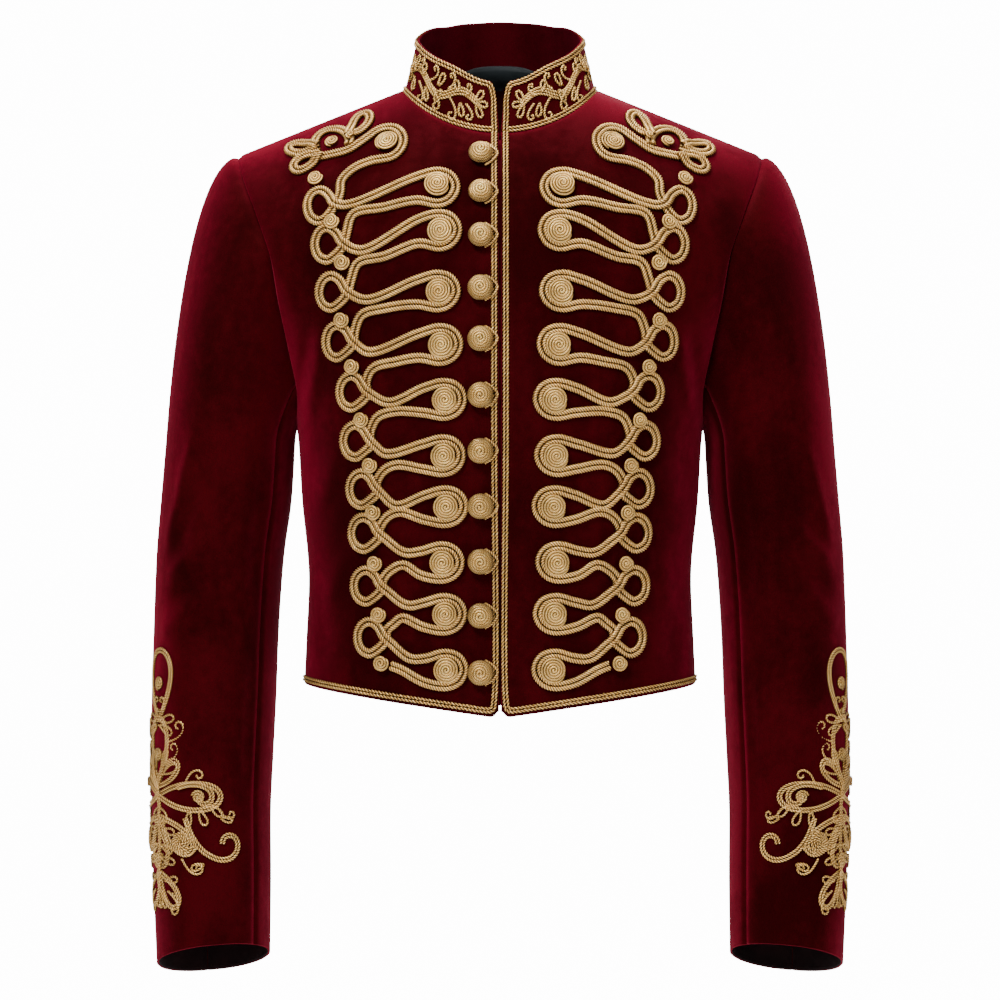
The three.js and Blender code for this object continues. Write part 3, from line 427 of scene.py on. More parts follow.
def half_panel(back, side, fine):
    """Half of a body panel as a grid of places, from the hem up and from the middle outwards."""
    neck = NECK_BACK if back else NECK_FRONT
    ends = outer_ends(back)
    count = len(neck) + len(SHOULDER_SEAM) - 1
    across_steps = graded(count, fine)
    up_steps = graded(len(ends) - 1, fine)
    whole = np.arange(count + 1)
    tops = np.interp(across_steps, whole, neck + SHOULDER_SEAM)
    ends = through(ends, up_steps)
    even = whole / count if back else np.clip(whole - 0.72, 0, None) / (count - 0.72)
    even = np.interp(across_steps, whole, even)
    top_z = np.where(tops < NECK_HALF, neckline(tops, back), ridge(tops, back))
    turns, leans = turn_at(tops, top_z), lean_at(tops, top_z, back)
    up = (up_steps / up_steps[-1])[:, None]
    end_leans = lean_at(ends[:, 0], ends[:, 1], back)
    end_up = ((end_leans - end_leans[0]) / (end_leans[-1] - end_leans[0]))[:, None]
    first = neck[0]
    low_z, high_z = hemline(first, back), neckline(first, back)
    middle_z = low_z + (high_z - low_z) * up
    inner = turn_at(first, middle_z)
    outer = turn_at(ends[:, 0], ends[:, 1])[:, None]
    top_share = (turns - turns[0]) / (turns[-1] - turns[0])
    weight = up**2.2
    share = (1 - weight) * even + weight * top_share
    turn = inner + (outer - inner) * share
    half = reading(TORSO, "half", -490) * np.sin(turn) ** (2 / FULLNESS)
    low = lean_at(half, hemline(half, back), back)
    climb = up + (end_up - up) * share
    grid = by_angles(turn, low + (leans - low) * climb, back, side)
    grid[-1] = on_body(tops, top_z, back, side)
    grid[:, 0] = on_body(np.full(len(up), float(first)), middle_z[:, 0], back, side)
    grid[:, -1] = on_body(ends[:, 0], ends[:, 1], back, side)
    return grid


def graded(count, fine):
    """Even steps along a panel, with a few close ones at both edges for the sewn valley."""
    near = np.array([0, 0.035, 0.08, 0.15, 0.24])
    return np.concatenate([near, np.linspace(0.34, count - 0.34, count * fine), count - near[::-1]])


def armhole_loop(side):
    front = on_body(ARMHOLE["front"], ARMHOLE["z"], False, side)
    back = on_body(ARMHOLE["back"][1:], ARMHOLE["z"][1:], True, side)
    armpit = on_body(reading(TORSO, "half", ARMPIT), ARMPIT, False, side)
    return np.vstack([front, armpit[None], back[::-1]]) * [side, 1, 1]


def armhole_out(side):
    """Directions out of the body along the armhole, from the shoulder round the front to the back."""
    front = frames_on(lambda a, z: on_body(a, z, False, side), np.stack(
        [ARMHOLE["front"], ARMHOLE["z"]], axis=1))[1] * [side, 1, 1]
    back = frames_on(lambda a, z: on_body(a, z, True, side), np.stack(
        [ARMHOLE["back"], ARMHOLE["z"]], axis=1))[1][1:] * [side, 1, 1]
    front[0] = (0.37, 0, 0.93)
    return np.vstack([front, [[1.0, 0, 0]], back[::-1]])


def on_ring(ring, angle):
    """Places on sleeve rings, at an angle from the outer side over the front."""
    c, s = np.cos(angle), np.sin(angle)
    power = 2 / SLEEVE_ROUND
    y = -ring["deep"] * np.sign(s) * np.abs(s) ** power
    x = ring["x"] + ring["half"] * np.sign(c) * np.abs(c) ** power
    return np.stack([x, ring["y"] + y, ring["z"] - ring["tip"] * y], axis=-1)


def sleeve_part(side, start, end, fine):
    """Sleeve cloth between two of its columns: the head from the armhole down, then the rings."""
    at = start + graded(end - start, fine)
    angle = 2 * np.pi * at / SLEEVE_COLUMNS
    loop = through(armhole_loop(side), at, closed=True)
    names = ("z", "x", "half", "y", "deep", "tip")
    first = {name: SLEEVE[name][0] for name in names}
    goal = on_ring(first, angle)
    around = np.arctan2(-loop[:, 1] / 72, (loop[:, 2] + 165) / 110)
    low = np.sin(around / 2) ** 2
    out = np.stack([1 - 0.95 * low, -0.22 * np.sin(around), -0.08 - 0.92 * low], axis=-1)
    length = np.linalg.norm(loop - goal, axis=1, keepdims=True)
    spring = out / np.linalg.norm(out, axis=1, keepdims=True) * length * HEAD_SPRING
    fall = np.array([0.07, 0, -1]) * length * HEAD_FALL
    body_out = through(armhole_out(side), at, closed=True)
    body_out /= np.linalg.norm(body_out, axis=1, keepdims=True)
    rows = [loop - spring / np.linalg.norm(spring, axis=1, keepdims=True) * 2.0 - body_out * 2.9]
    for t in (0, 0.006, 0.014, 0.026, 0.04, 0.06, *np.linspace(0.09, 0.95, 22)):
        ease = 3 * t**2 - 2 * t**3
        place = loop * (1 - ease) + goal * ease + spring * (t**3 - 2 * t**2 + t) + fall * (t**3 - t**2)
        away = np.linalg.norm(place - loop, axis=1, keepdims=True)
        rows.append(place - body_out * SLEEVE_TUCK * np.exp(-((away / 3.2) ** 2)))
    depths = np.stack([SLEEVE[name] for name in names], axis=1)
    for step in [*np.arange(0, len(depths) - 1, 1 / (2 * fine)), len(depths) - 1.04, len(depths) - 1]:
        ring = dict(zip(names, through(depths, [step])[0]))
        point = on_ring(ring, angle)
        flat = (point - [ring["x"], ring["y"], 0]) * [1, 1, 0]
        flat /= np.linalg.norm(flat, axis=1, keepdims=True)
        turn = np.degrees(angle) % 360
        depth = crease_depth(SLEEVE_CREASES[side], turn, point[:, 2], CUFF_KNOT_RADIUS / 57.3)
        point += flat * depth[:, None]
        fall = np.clip((-620 - ring["z"]) / 88, 0, 1) ** 2
        inner = (1 - np.cos(angle)) / 2
        point[:, 2] += fall * (CUFF_RISE * inner - CUFF_DROP * (1 - inner))
        rows.append(point)
    return np.array(rows) * [side, 1, 1]


def above_neck(base, share):
    """A place on the collar above a place on the neckline, by the share of its height."""
    flat = np.stack([-base[..., 0], -base[..., 1] - 4, np.zeros(base.shape[:-1])], axis=-1)
    inward = flat / np.linalg.norm(flat, axis=-1, keepdims=True)
    front = np.clip(-base[..., 1] / 72, 0, 1)
    near_end = front * np.exp(-(((np.abs(base[..., 0]) - EDGE) / 7) ** 2))
    corner = front * np.exp(-(((np.abs(base[..., 0]) - EDGE) / 3) ** 2))
    back = np.clip(base[..., 1] / 58, 0, 1)
    tall = np.exp(-(((base[..., 1] - 18) / 16) ** 2))
    full = np.exp(-(((np.abs(base[..., 0]) - 46) / 18) ** 2))
    height = (COLLAR_HEIGHT + COLLAR_BACK_EXTRA * back + COLLAR_SIDE_EXTRA * tall
              + COLLAR_REAR_SIDE_EXTRA * back * np.exp(-(((np.abs(base[..., 0]) - 40) / 13) ** 2))
              - COLLAR_CORNER * corner + COLLAR_FRONT_EXTRA * front * full)
    share = np.asarray(share)
    lean = np.where(share < 0, -36 * share, COLLAR_LEAN * share * (1 - 0.4 * back))
    point = base + inward * lean[..., None]
    point[..., 0] += np.sign(base[..., 0]) * COLLAR_SPREAD * near_end * share
    point[..., 2] += height * share
    return point


def neck_loop():
    """The neckline from the right front end round the back to the left front end."""
    front = np.array([EDGE, 2.6, 4, 6, 9, 13, 18, 24, 31, 38, 46, 54, 60, 66, 70, 73, 75.2, 76.8])
    back = np.concatenate([[75.5, 73, 69], np.linspace(64, 0, 33)])
    half = np.vstack([
        on_body(front, neckline(front, False), False, 1), [[NECK_HALF, 0, 0]],
        on_body(back, neckline(back, True), True, 1),
    ])
    flat = half * [-1, 1, 1]
    line = np.vstack([flat, half[-2::-1]])
    return evenly_spaced(line, 2.5)


NECK = neck_loop()
NECK_REACH = np.concatenate([[0], np.cumsum(np.linalg.norm(np.diff(NECK, axis=0), axis=1))])


def collar_cloth(along, up):
    """The collar's outer face, by distance from the right front end and height."""
    base = np.stack([np.interp(along, NECK_REACH, NECK[:, axis]) for axis in range(3)], axis=-1)
    return above_neck(base, np.asarray(up) / COLLAR_HEIGHT)


def cuff_cloth(side):
    """The lower sleeve's outer face, by distance round it from the knot's middle line, and height."""

    def place(around, z):
        around, z = np.broadcast_arrays(np.asarray(around, float), np.asarray(z, float))
        angle = math.radians(CUFF_KNOT_ANGLE) + around / CUFF_KNOT_RADIUS
        height = z.copy()
        for _ in range(6):
            ring = {name: reading(SLEEVE, name, height) for name in ("x", "half", "y", "deep", "tip")}
            point = on_ring({**ring, "z": height}, angle)
            height = height + (z - point[..., 2])
        return point * [side, 1, 1]

    place.middle = 236 * side
    return place


# ---------------------------------------------------------------- making meshes


def new_object(name, points, faces, finishes, smooth=True):
    """A mesh object in metres."""
    mesh = bpy.data.meshes.new(name)
    mesh.from_pydata((np.asarray(points) / 1000).tolist(), [], faces)
    for finish in finishes:
        mesh.materials.append(finish)
    mesh.update()
    if smooth:
        mesh.shade_smooth()
    thing = bpy.data.objects.new(name, mesh)
    bpy.context.scene.collection.objects.link(thing)
    return thing


def normals_of(grid):
    along = np.gradient(grid, axis=1)
    up = np.gradient(grid, axis=0)
    normal = np.cross(along, up)
    return normal / np.maximum(np.linalg.norm(normal, axis=-1, keepdims=True), 1e-9)


def seam_valley(grid, normal, seams, deep=1.5, half=2.6):
    """Draws the cloth in along its sewn edges, as stitching does."""
    rows = np.linalg.norm(np.diff(grid, axis=0), axis=2)
    steps = np.linalg.norm(np.diff(grid, axis=1), axis=2)
    up = np.vstack([np.zeros((1, grid.shape[1])), np.cumsum(rows, axis=0)])
    across = np.hstack([np.zeros((grid.shape[0], 1)), np.cumsum(steps, axis=1)])
    reach = {"low": up, "high": up[-1:] - up, "left": across, "right": across[:, -1:] - across}
    depth = np.zeros(grid.shape[:2])
    for seam in seams:
        depth = np.maximum(depth, deep * np.exp(-((reach[seam] / half) ** 2)))
    return grid - normal * depth[..., None]


def shell(name, grid, middle, seams, outer, lining, thick=CLOTH):
    """A closed sheet of cloth from a grid of places on its outer face."""
    normal = normals_of(grid)
    if np.sum(normal * (grid - middle)) < 0:
        grid = grid[:, ::-1]
        normal = normals_of(grid)
        swap = {"left": "right", "right": "left"}
        seams = [swap.get(seam, seam) for seam in seams]
    grid = seam_valley(grid, normal, seams)
    normal = normals_of(grid)
    rows, count = grid.shape[:2]
    inner = grid - normal * thick
    at = np.arange(rows * count).reshape(rows, count)
    quads = np.stack([at[:-1, :-1], at[:-1, 1:], at[1:, 1:], at[1:, :-1]], axis=-1).reshape(-1, 4)
    inner_quads = quads[:, ::-1] + rows * count
    ring = np.concatenate([at[0, :-1], at[:-1, -1], at[-1, :0:-1], at[:0:-1, 0]])
    following = np.roll(ring, -1)
    flat_outer, flat_inner = grid.reshape(-1, 3), inner.reshape(-1, 3)
    tangent = np.roll(flat_outer[ring], -1, axis=0) - np.roll(flat_outer[ring], 1, axis=0)
    away = np.cross(tangent, normal.reshape(-1, 3)[ring])
    away /= np.maximum(np.linalg.norm(away, axis=1, keepdims=True), 1e-9)
    edge = (flat_outer[ring] + flat_inner[ring]) / 2 + away * thick * 0.42
    first_edge = 2 * rows * count
    edge_at = first_edge + np.arange(len(ring))
    edge_next = np.roll(edge_at, -1)
    rims = np.vstack([
        np.stack([ring, edge_at, edge_next, following], axis=1),
        np.stack([edge_at, ring + rows * count, following + rows * count, edge_next], axis=1),
    ])
    points = np.vstack([flat_outer, flat_inner, edge])
    faces = np.vstack([quads, rims, inner_quads])
    cloth = new_object(name, points, faces.tolist(), [outer, lining])
    inside = np.zeros(len(faces), np.int32)
    inside[len(quads) + len(rims):] = 1
    cloth.data.polygons.foreach_set("material_index", inside)
    return cloth


def frames_on(surface, places):
    """Points on a surface with their directions out of the cloth."""
    a, b = places[:, 0], places[:, 1]
    d = 0.5
    side = surface(a + d, b) - surface(a - d, b)
    up = surface(a, b + d) - surface(a, b - d)
    point = surface(a, b)
    out = np.cross(side, up)
    out /= np.maximum(np.linalg.norm(out, axis=1, keepdims=True), 1e-9)
    middle = getattr(surface, "middle", 0)
    away = out[:, 0] * (point[:, 0] - middle) + out[:, 1] * point[:, 1]
    return point, np.where(away[:, None] < 0, -out, out)


def rises(lines, width, height):
    """How far each line is lifted where it crosses or touches what was laid before it."""
    laid = np.vstack(lines)
    strand = np.concatenate([np.full(len(line), index) for index, line in enumerate(lines)])
    order = np.arange(len(laid))
    lift = np.zeros(len(laid))
    for start in range(0, len(laid), 400):
        part = slice(start, start + 400)
        gap = np.linalg.norm(laid[part, None] - laid[None], axis=2)
        later = order[part, None] - order[None]
        same = strand[part, None] == strand[None]
        gap[(later < 0) | (same & (later < 2.2 * width))] = 1e6
        near = np.clip(1 - gap.min(axis=1) / width, 0, 1)
        lift[part] = height * near**2 * (3 - 2 * near)
    made, start = [], 0
    for line in lines:
        part = lift[start:start + len(line)]
        soft = np.convolve(np.pad(part, 4, mode="edge"), np.hanning(11)[1:-1] / 5, mode="valid")
        made.append(np.maximum(soft, part * 0.9))
        start += len(line)
    return made


def pair_of_cords(surface, lines, radius, width=8.0, base=None, spread=THIN_SPREAD):
    """Two cords side by side along each line, lifted where they pass over others."""
    lines = [smooth_line(line, 1.0) for line in lines]
    lifts = rises(lines, width * 0.95, 1.75 * radius)
    cords = []
    for line, lift in zip(lines, lifts):
        point, out = frames_on(surface, line)
        along = np.gradient(point, axis=0)
        aside = np.cross(out, along)
        aside /= np.maximum(np.linalg.norm(aside, axis=1, keepdims=True), 1e-9)
        high = (radius * 0.9 + 0.25 if base is None else base) + lift
        for sign in (-1, 1):
            cords.append((point + out * high[:, None] + aside * sign * radius * spread, out))
    return cords


def single_cords(surface, lines, radius):
    lines = [smooth_line(line, 0.8) for line in lines]
    lifts = rises(lines, 2.1 * radius, 1.5 * radius)
    cords = []
    for line, lift in zip(lines, lifts):
        point, out = frames_on(surface, line)
        cords.append((point + out * (radius * 0.6 + 0.2 + lift)[:, None], out))
    return cords


def coil(surface, place, radius, cord, dome, lift=0.0):
    """A cord wound from the middle out to a radius, over a low dome."""
    pitch = 2.0 * cord
    turns = (radius - cord) / pitch
    angle = np.linspace(0, 2 * np.pi * turns, max(int(turns * 22), 12))
    far = pitch * angle / (2 * np.pi)
    point, out = frames_on(surface, np.array([place], float))
    point, out = point[0], out[0]
    aside = np.cross([0, 0, 1.0], out)
    aside /= np.linalg.norm(aside)
    up = np.cross(out, aside)
    tuck = np.clip(1 - (angle[-1] - angle) / 1.1, 0, 1) ** 2
    far = far - tuck * cord * 1.9
    high = cord * 0.8 + 0.3 + lift + dome * np.sqrt(1 - 0.96 * (far / radius) ** 2) - tuck * cord * 2.3
    path = (point + aside * (far * np.cos(angle))[:, None]
            + up * (far * np.sin(angle))[:, None] + out * high[:, None])
    # The third value is painted light: brighter towards the coil's middle.
    return path, np.tile(out, (len(path), 1)), 0.55 + 0.4 * np.clip(1 - far / radius, 0, 1) ** 1.5


def oval_coil(surface, place, wide, tall, cord, dome):
    """A cord wound from the middle out to an oval, following the cloth."""
    turns = (min(wide, tall) - cord) / (2.3 * cord)
    angle = np.linspace(0, 2 * np.pi * turns, max(int(turns * 20), 14))
    share = angle / angle[-1]
    places = np.stack([place[0] + (wide - cord) * share * np.cos(angle),
                       place[1] + (tall - cord) * share * np.sin(angle)], axis=1)
    point, out = frames_on(surface, places)
    path = point + out * (cord * 0.7 + 0.2 + dome * np.sqrt(1 - 0.9 * share**2))[:, None]
    # The third value is painted light: brighter towards the coil's middle.
    return path, out, 0.55 + 0.4 * (1 - share) ** 1.5


# ---------------------------------------------------------------- twisted cord along a path


def twisted_cord_tree(finish):
    """Geometry nodes that turn paths into cord: plies laid round the path as a lobed section."""
    tree = bpy.data.node_groups.new("twisted_cord", "GeometryNodeTree")
    tree.is_modifier = True
    face = tree.interface
    face.new_socket("Paths", in_out="INPUT", socket_type="NodeSocketGeometry")
    sizes = {}
    for name, value in (("Radius", 0.002), ("Ply Relief", 0.2), ("Plies", 3.0), ("Lay Length", 0.005),
                        ("Step", 0.0008)):
        sizes[name] = face.new_socket(name, in_out="INPUT", socket_type="NodeSocketFloat")
        sizes[name].default_value = value
    sizes["Corners"] = face.new_socket("Corners", in_out="INPUT", socket_type="NodeSocketInt")
    sizes["Corners"].default_value = 9
    face.new_socket("Cord", in_out="OUTPUT", socket_type="NodeSocketGeometry")
    nodes, links = tree.nodes, tree.links

    def node(kind, **settings):
        made = nodes.new(kind)
        for key, value in settings.items():
            setattr(made, key, value)
        return made

    def maths(operation, first, second=None):
        made = node("ShaderNodeMath", operation=operation)
        for socket, value in zip(made.inputs, (first, second)):
            if value is None:
                continue
            if isinstance(value, (int, float)):
                socket.default_value = value
            else:
                links.new(value, socket)
        return made.outputs[0]

    given = node("NodeGroupInput").outputs
    strand = node("GeometryNodeMeshToCurve")
    links.new(given["Paths"], strand.inputs[0])
    # Section: a circle whose radius swells at each ply.
    circle = node("GeometryNodeCurvePrimitiveCircle", mode="RADIUS")
    links.new(given["Corners"], circle.inputs["Resolution"])
    circle.inputs["Radius"].default_value = 1.0
    factor = node("GeometryNodeSplineParameter").outputs["Factor"]
    wave = maths("COSINE", maths("MULTIPLY", maths("MULTIPLY", factor, given["Plies"]), 2 * math.pi))
    swell = maths("MULTIPLY", maths("ADD", 1.0, maths("MULTIPLY", wave, given["Ply Relief"])), given["Radius"])
    place = node("GeometryNodeInputPosition").outputs[0]
    scaled = node("ShaderNodeVectorMath", operation="SCALE")
    links.new(place, scaled.inputs[0])
    links.new(swell, scaled.inputs["Scale"])
    section = node("GeometryNodeSetPosition")
    links.new(circle.outputs["Curve"], section.inputs["Geometry"])
    links.new(scaled.outputs[0], section.inputs["Position"])
    crest = node("GeometryNodeStoreNamedAttribute", data_type="FLOAT", domain="POINT")
    crest.inputs["Name"].default_value = "ply_crest"
    links.new(section.outputs[0], crest.inputs["Geometry"])
    links.new(maths("ADD", maths("MULTIPLY", wave, 0.5), 0.5), crest.inputs["Value"])
    # Path: even steps, tilted a full turn each lay length.
    even = node("GeometryNodeResampleCurve", mode="LENGTH")
    links.new(strand.outputs[0], even.inputs["Curve"])
    links.new(given["Step"], even.inputs["Length"])
    length = node("GeometryNodeSplineParameter").outputs["Length"]
    tilt = node("GeometryNodeSetCurveTilt")
    links.new(even.outputs[0], tilt.inputs["Curve"])
    turn = maths("MULTIPLY", maths("DIVIDE", length, given["Lay Length"]), 2 * math.pi)
    links.new(turn, tilt.inputs["Tilt"])
    sweep = node("GeometryNodeCurveToMesh")
    links.new(tilt.outputs[0], sweep.inputs["Curve"])
    links.new(crest.outputs[0], sweep.inputs["Profile Curve"])
    sweep.inputs["Fill Caps"].default_value = True
    # How far each part of the cord faces out of the cloth below it.
    facing = node("ShaderNodeVectorMath", operation="DOT_PRODUCT")
    links.new(node("GeometryNodeInputNormal").outputs[0], facing.inputs[0])
    away = node("GeometryNodeInputNamedAttribute", data_type="FLOAT_VECTOR")
    away.inputs["Name"].default_value = "out_of_cloth"
    links.new(away.outputs[0], facing.inputs[1])
    cover = node("GeometryNodeStoreNamedAttribute", data_type="FLOAT", domain="POINT")
    cover.inputs["Name"].default_value = "facing_out"
    links.new(sweep.outputs[0], cover.inputs["Geometry"])
    links.new(facing.outputs["Value"], cover.inputs["Value"])
    spent = node("GeometryNodeRemoveAttribute")
    spent.inputs["Name"].default_value = "out_of_cloth"
    links.new(cover.outputs[0], spent.inputs["Geometry"])
    whole = node("GeometryNodeRealizeInstances")
    links.new(spent.outputs[0], whole.inputs[0])
    dress = node("GeometryNodeSetMaterial")
    dress.inputs["Material"].default_value = finish
    links.new(whole.outputs[0], dress.inputs["Geometry"])
    smooth = node("GeometryNodeSetShadeSmooth")
    links.new(dress.outputs[0], smooth.inputs["Geometry"])
    result = node("NodeGroupOutput")
    links.new(smooth.outputs[0], result.inputs[0])
    return tree


def cords(name, paths, tree, finish, **sizes):
    """Cord along each path, as one plain mesh."""
    points = np.vstack([path[0] for path in paths]) / 1000
    ends = np.cumsum([len(path[0]) for path in paths])
    edges = [(at, at + 1) for at in range(len(points) - 1) if at + 1 not in set(ends.tolist())]
    strands = bpy.data.meshes.new(name + "_path")
    strands.from_pydata(points.tolist(), edges, [])
    strands.attributes.new("out_of_cloth", "FLOAT_VECTOR", "POINT").data.foreach_set(
        "vector", np.vstack([path[1] for path in paths]).ravel())
    # Painted dome light for each point of the paths; 0.6 where none is given.
    strands.attributes.new("dome_top", "FLOAT", "POINT").data.foreach_set("value", np.concatenate(
        [path[2] if len(path) > 2 else np.full(len(path[0]), 0.6) for path in paths]))
    carrier = bpy.data.objects.new(name + "_path", strands)
    bpy.context.scene.collection.objects.link(carrier)
    modifier = carrier.modifiers.new("twist", "NODES")
    modifier.node_group = tree
    for item in tree.interface.items_tree:
        key = item.name.lower().replace(" ", "_")
        if item.item_type == "SOCKET" and item.in_out == "INPUT" and key in sizes:
            modifier[item.identifier] = sizes[key]
    carrier.update_tag()
    graph = bpy.context.evaluated_depsgraph_get()
    mesh = bpy.data.meshes.new_from_object(carrier.evaluated_get(graph))
    mesh.name = name
    mesh.materials.clear()
    mesh.materials.append(finish)
    thing = bpy.data.objects.new(name, mesh)
    bpy.context.scene.collection.objects.link(thing)
    bpy.data.objects.remove(carrier)
    return thing


# ---------------------------------------------------------------- finishes


class Finish:
    """A material with short words for its nodes."""

    def __init__(self, name, tree=None):
        if tree is None:
            self.material = bpy.data.materials.new(name)
            self.material.use_nodes = True
            tree = self.material.node_tree
            tree.nodes.clear()
        self.tree = tree

    def node(self, kind, inputs=(), **settings):
        made = self.tree.nodes.new(kind)
        for key, value in settings.items():
            setattr(made, key, value)
        for key, value in dict(inputs).items():
            if isinstance(value, bpy.types.NodeSocket):
                self.tree.links.new(value, made.inputs[key])
            else:
                made.inputs[key].default_value = value
        return made

    def maths(self, operation, first, second=0.5):
        return self.node("ShaderNodeMath", {0: first, 1: second}, operation=operation).outputs[0]

    def blend(self, share, first, second, kind="MIX"):
        made = self.node("ShaderNodeMix", {0: share, 6: first, 7: second}, data_type="RGBA", blend_type=kind)
        return made.outputs[2]

    def ramp(self, value, low, high, to_low=0.0, to_high=1.0):
        made = self.node("ShaderNodeMapRange", {0: value, 1: low, 2: high, 3: to_low, 4: to_high},
                         interpolation_type="SMOOTHSTEP")
        return made.outputs[0]

    def noise(self, where, scale, detail=3.0, rough=0.5):
        made = self.node("ShaderNodeTexNoise", {
            "Vector": where, "Scale": scale, "Detail": detail, "Roughness": rough})
        return made.outputs["Fac"]


def nap_group():
    """Velvet's nap: where the pile leans light or dark, and its fine grain."""
    tree = bpy.data.node_groups.new("velvet_nap", "ShaderNodeTree")
    face = tree.interface
    face.new_socket("Place", in_out="INPUT", socket_type="NodeSocketVector")
    size = face.new_socket("Patch Scale", in_out="INPUT", socket_type="NodeSocketFloat")
    size.default_value = 14.0
    face.new_socket("Lean", in_out="OUTPUT", socket_type="NodeSocketFloat")
    face.new_socket("Pile", in_out="OUTPUT", socket_type="NodeSocketFloat")
    work = Finish("", tree)
    given = work.node("NodeGroupInput").outputs
    long = work.node("ShaderNodeMapping", {"Vector": given["Place"], "Scale": (1.0, 1.0, 0.45)}).outputs[0]
    warp = work.node("ShaderNodeTexNoise", {"Vector": long, "Scale": 9.0, "Detail": 2.0}).outputs["Color"]
    moved = work.node("ShaderNodeVectorMath", {0: long, 1: work.node(
        "ShaderNodeVectorMath", {0: warp, "Scale": 0.05}, operation="SCALE").outputs[0]}, operation="ADD").outputs[0]
    patches = work.noise(moved, given["Patch Scale"], 4.0, 0.6)
    fine = work.noise(given["Place"], work.maths("MULTIPLY", given["Patch Scale"], 9.0), 3.0, 0.6)
    lean = work.maths("ADD", work.maths("MULTIPLY", patches, 0.78), work.maths("MULTIPLY", fine, 0.22))
    pile = work.noise(given["Place"], 1500.0, 2.0, 0.7)
    result = work.node("NodeGroupOutput")
    tree.links.new(lean, result.inputs["Lean"])
    tree.links.new(pile, result.inputs["Pile"])
    return tree


def velvet(name, nap, dark, light, edge, sheen, patch=14.0):
    """Pile cloth: deep where it is seen end on, and painted brighter, as sheen, where it is seen across its pile."""
    finish = Finish(name)
    place = finish.node("ShaderNodeTexCoord").outputs["Object"]
    group = finish.node("ShaderNodeGroup")
    group.node_tree = nap
    finish.tree.links.new(place, group.inputs["Place"])
    group.inputs["Patch Scale"].default_value = patch
    lean = finish.ramp(group.outputs["Lean"], 0.36, 0.66)
    colour = finish.blend(lean, (*dark, 1), (*light, 1))
    # Painted sheen: the colour turns towards the edge colour where the cloth is seen at a grazing angle, more so on
    # the lighter nap.
    across = finish.node("ShaderNodeLayerWeight", {"Blend": 0.5}).outputs["Facing"]
    painted_sheen = finish.maths("MULTIPLY", finish.ramp(across, 0.12, 0.85), finish.ramp(lean, 0.0, 1.0, 0.6, 1.0))
    colour = finish.blend(painted_sheen, colour, (*edge, 1))
    grain = finish.ramp(group.outputs["Pile"], 0.3, 0.7, 0.75, 1.2)
    colour = finish.node("ShaderNodeHueSaturation", {"Value": grain, "Color": colour}).outputs[0]
    rough = finish.ramp(lean, 0.0, 1.0, 0.95, 0.75)
    bump = finish.node("ShaderNodeBump", {
        "Strength": 0.35, "Distance": 0.0006, "Height": group.outputs["Pile"]}).outputs[0]
    shader = finish.node("ShaderNodeBsdfPrincipled", {
        "Base Color": colour, "Roughness": rough, "Normal": bump})
    shader.inputs["Specular IOR Level"].default_value = 0.02
    shader.inputs["Sheen Weight"].default_value = sheen[0]
    shader.inputs["Sheen Roughness"].default_value = sheen[1]
    shader.inputs["Sheen Tint"].default_value = (*sheen[2], 1)
    finish.node("ShaderNodeOutputMaterial", {"Surface": shader.outputs[0]})
    return finish.material


def gold_thread(name, base, glint_colour, dark, metal, rough, domed=False, thread_scale=900.0):
    """Metallic thread: painted bright on the crests of the plies, as glints, and painted dark in the grooves and on
    its sides that face the cloth, as shade.
    """
    finish = Finish(name)
    place = finish.node("ShaderNodeTexCoord").outputs["Object"]
    crest = finish.node("ShaderNodeAttribute", attribute_name="ply_crest").outputs["Fac"]
    strands = finish.noise(place, thread_scale, 3.0, 0.65)
    patch = finish.noise(place, 60.0, 3.0, 0.5)
    top = finish.node("ShaderNodeAttribute", attribute_name="facing_out").outputs["Fac"]
    # Painted shade: darker in the grooves between the plies and where the cord faces the cloth below it.
    lit = finish.maths("MULTIPLY", finish.ramp(crest, 0.0, 0.7), finish.ramp(top, 0.0, 0.75, 0.15, 1.0))
    colour = finish.blend(lit, (*dark, 1), (*base, 1))
    # Painted highlight: glints of the bright colour on the lit crests.
    glint = finish.maths("MULTIPLY", finish.ramp(lit, 0.5, 1.0), finish.ramp(strands, 0.35, 0.7))
    colour = finish.blend(glint, colour, (*glint_colour, 1))
    # worn holds random patches of tone, and on coiled gold also painted highlight and shade: brighter at the middles
    # of coils and buttons and darker towards their rims.
    worn = finish.ramp(patch, 0.3, 0.75, 0.84, 1.12)
    if domed:
        top = finish.node("ShaderNodeAttribute", attribute_name="dome_top").outputs["Fac"]
        worn = finish.maths("MULTIPLY", worn, finish.ramp(top, 0.0, 1.0, 0.5, 1.3))
    colour = finish.node("ShaderNodeHueSaturation", {"Value": worn, "Color": colour}).outputs[0]
    roughness = finish.ramp(strands, 0.3, 0.7, rough + 0.12, rough - 0.08)
    bump = finish.node("ShaderNodeBump", {
        "Strength": 0.5, "Distance": 0.0004, "Height": strands}).outputs[0]
    shader = finish.node("ShaderNodeBsdfPrincipled", {
        "Base Color": colour, "Roughness": roughness, "Normal": bump})
    shader.inputs["Metallic"].default_value = metal
    shader.inputs["Specular IOR Level"].default_value = 0.5
    finish.node("ShaderNodeOutputMaterial", {"Surface": shader.outputs[0]})
    return finish.material


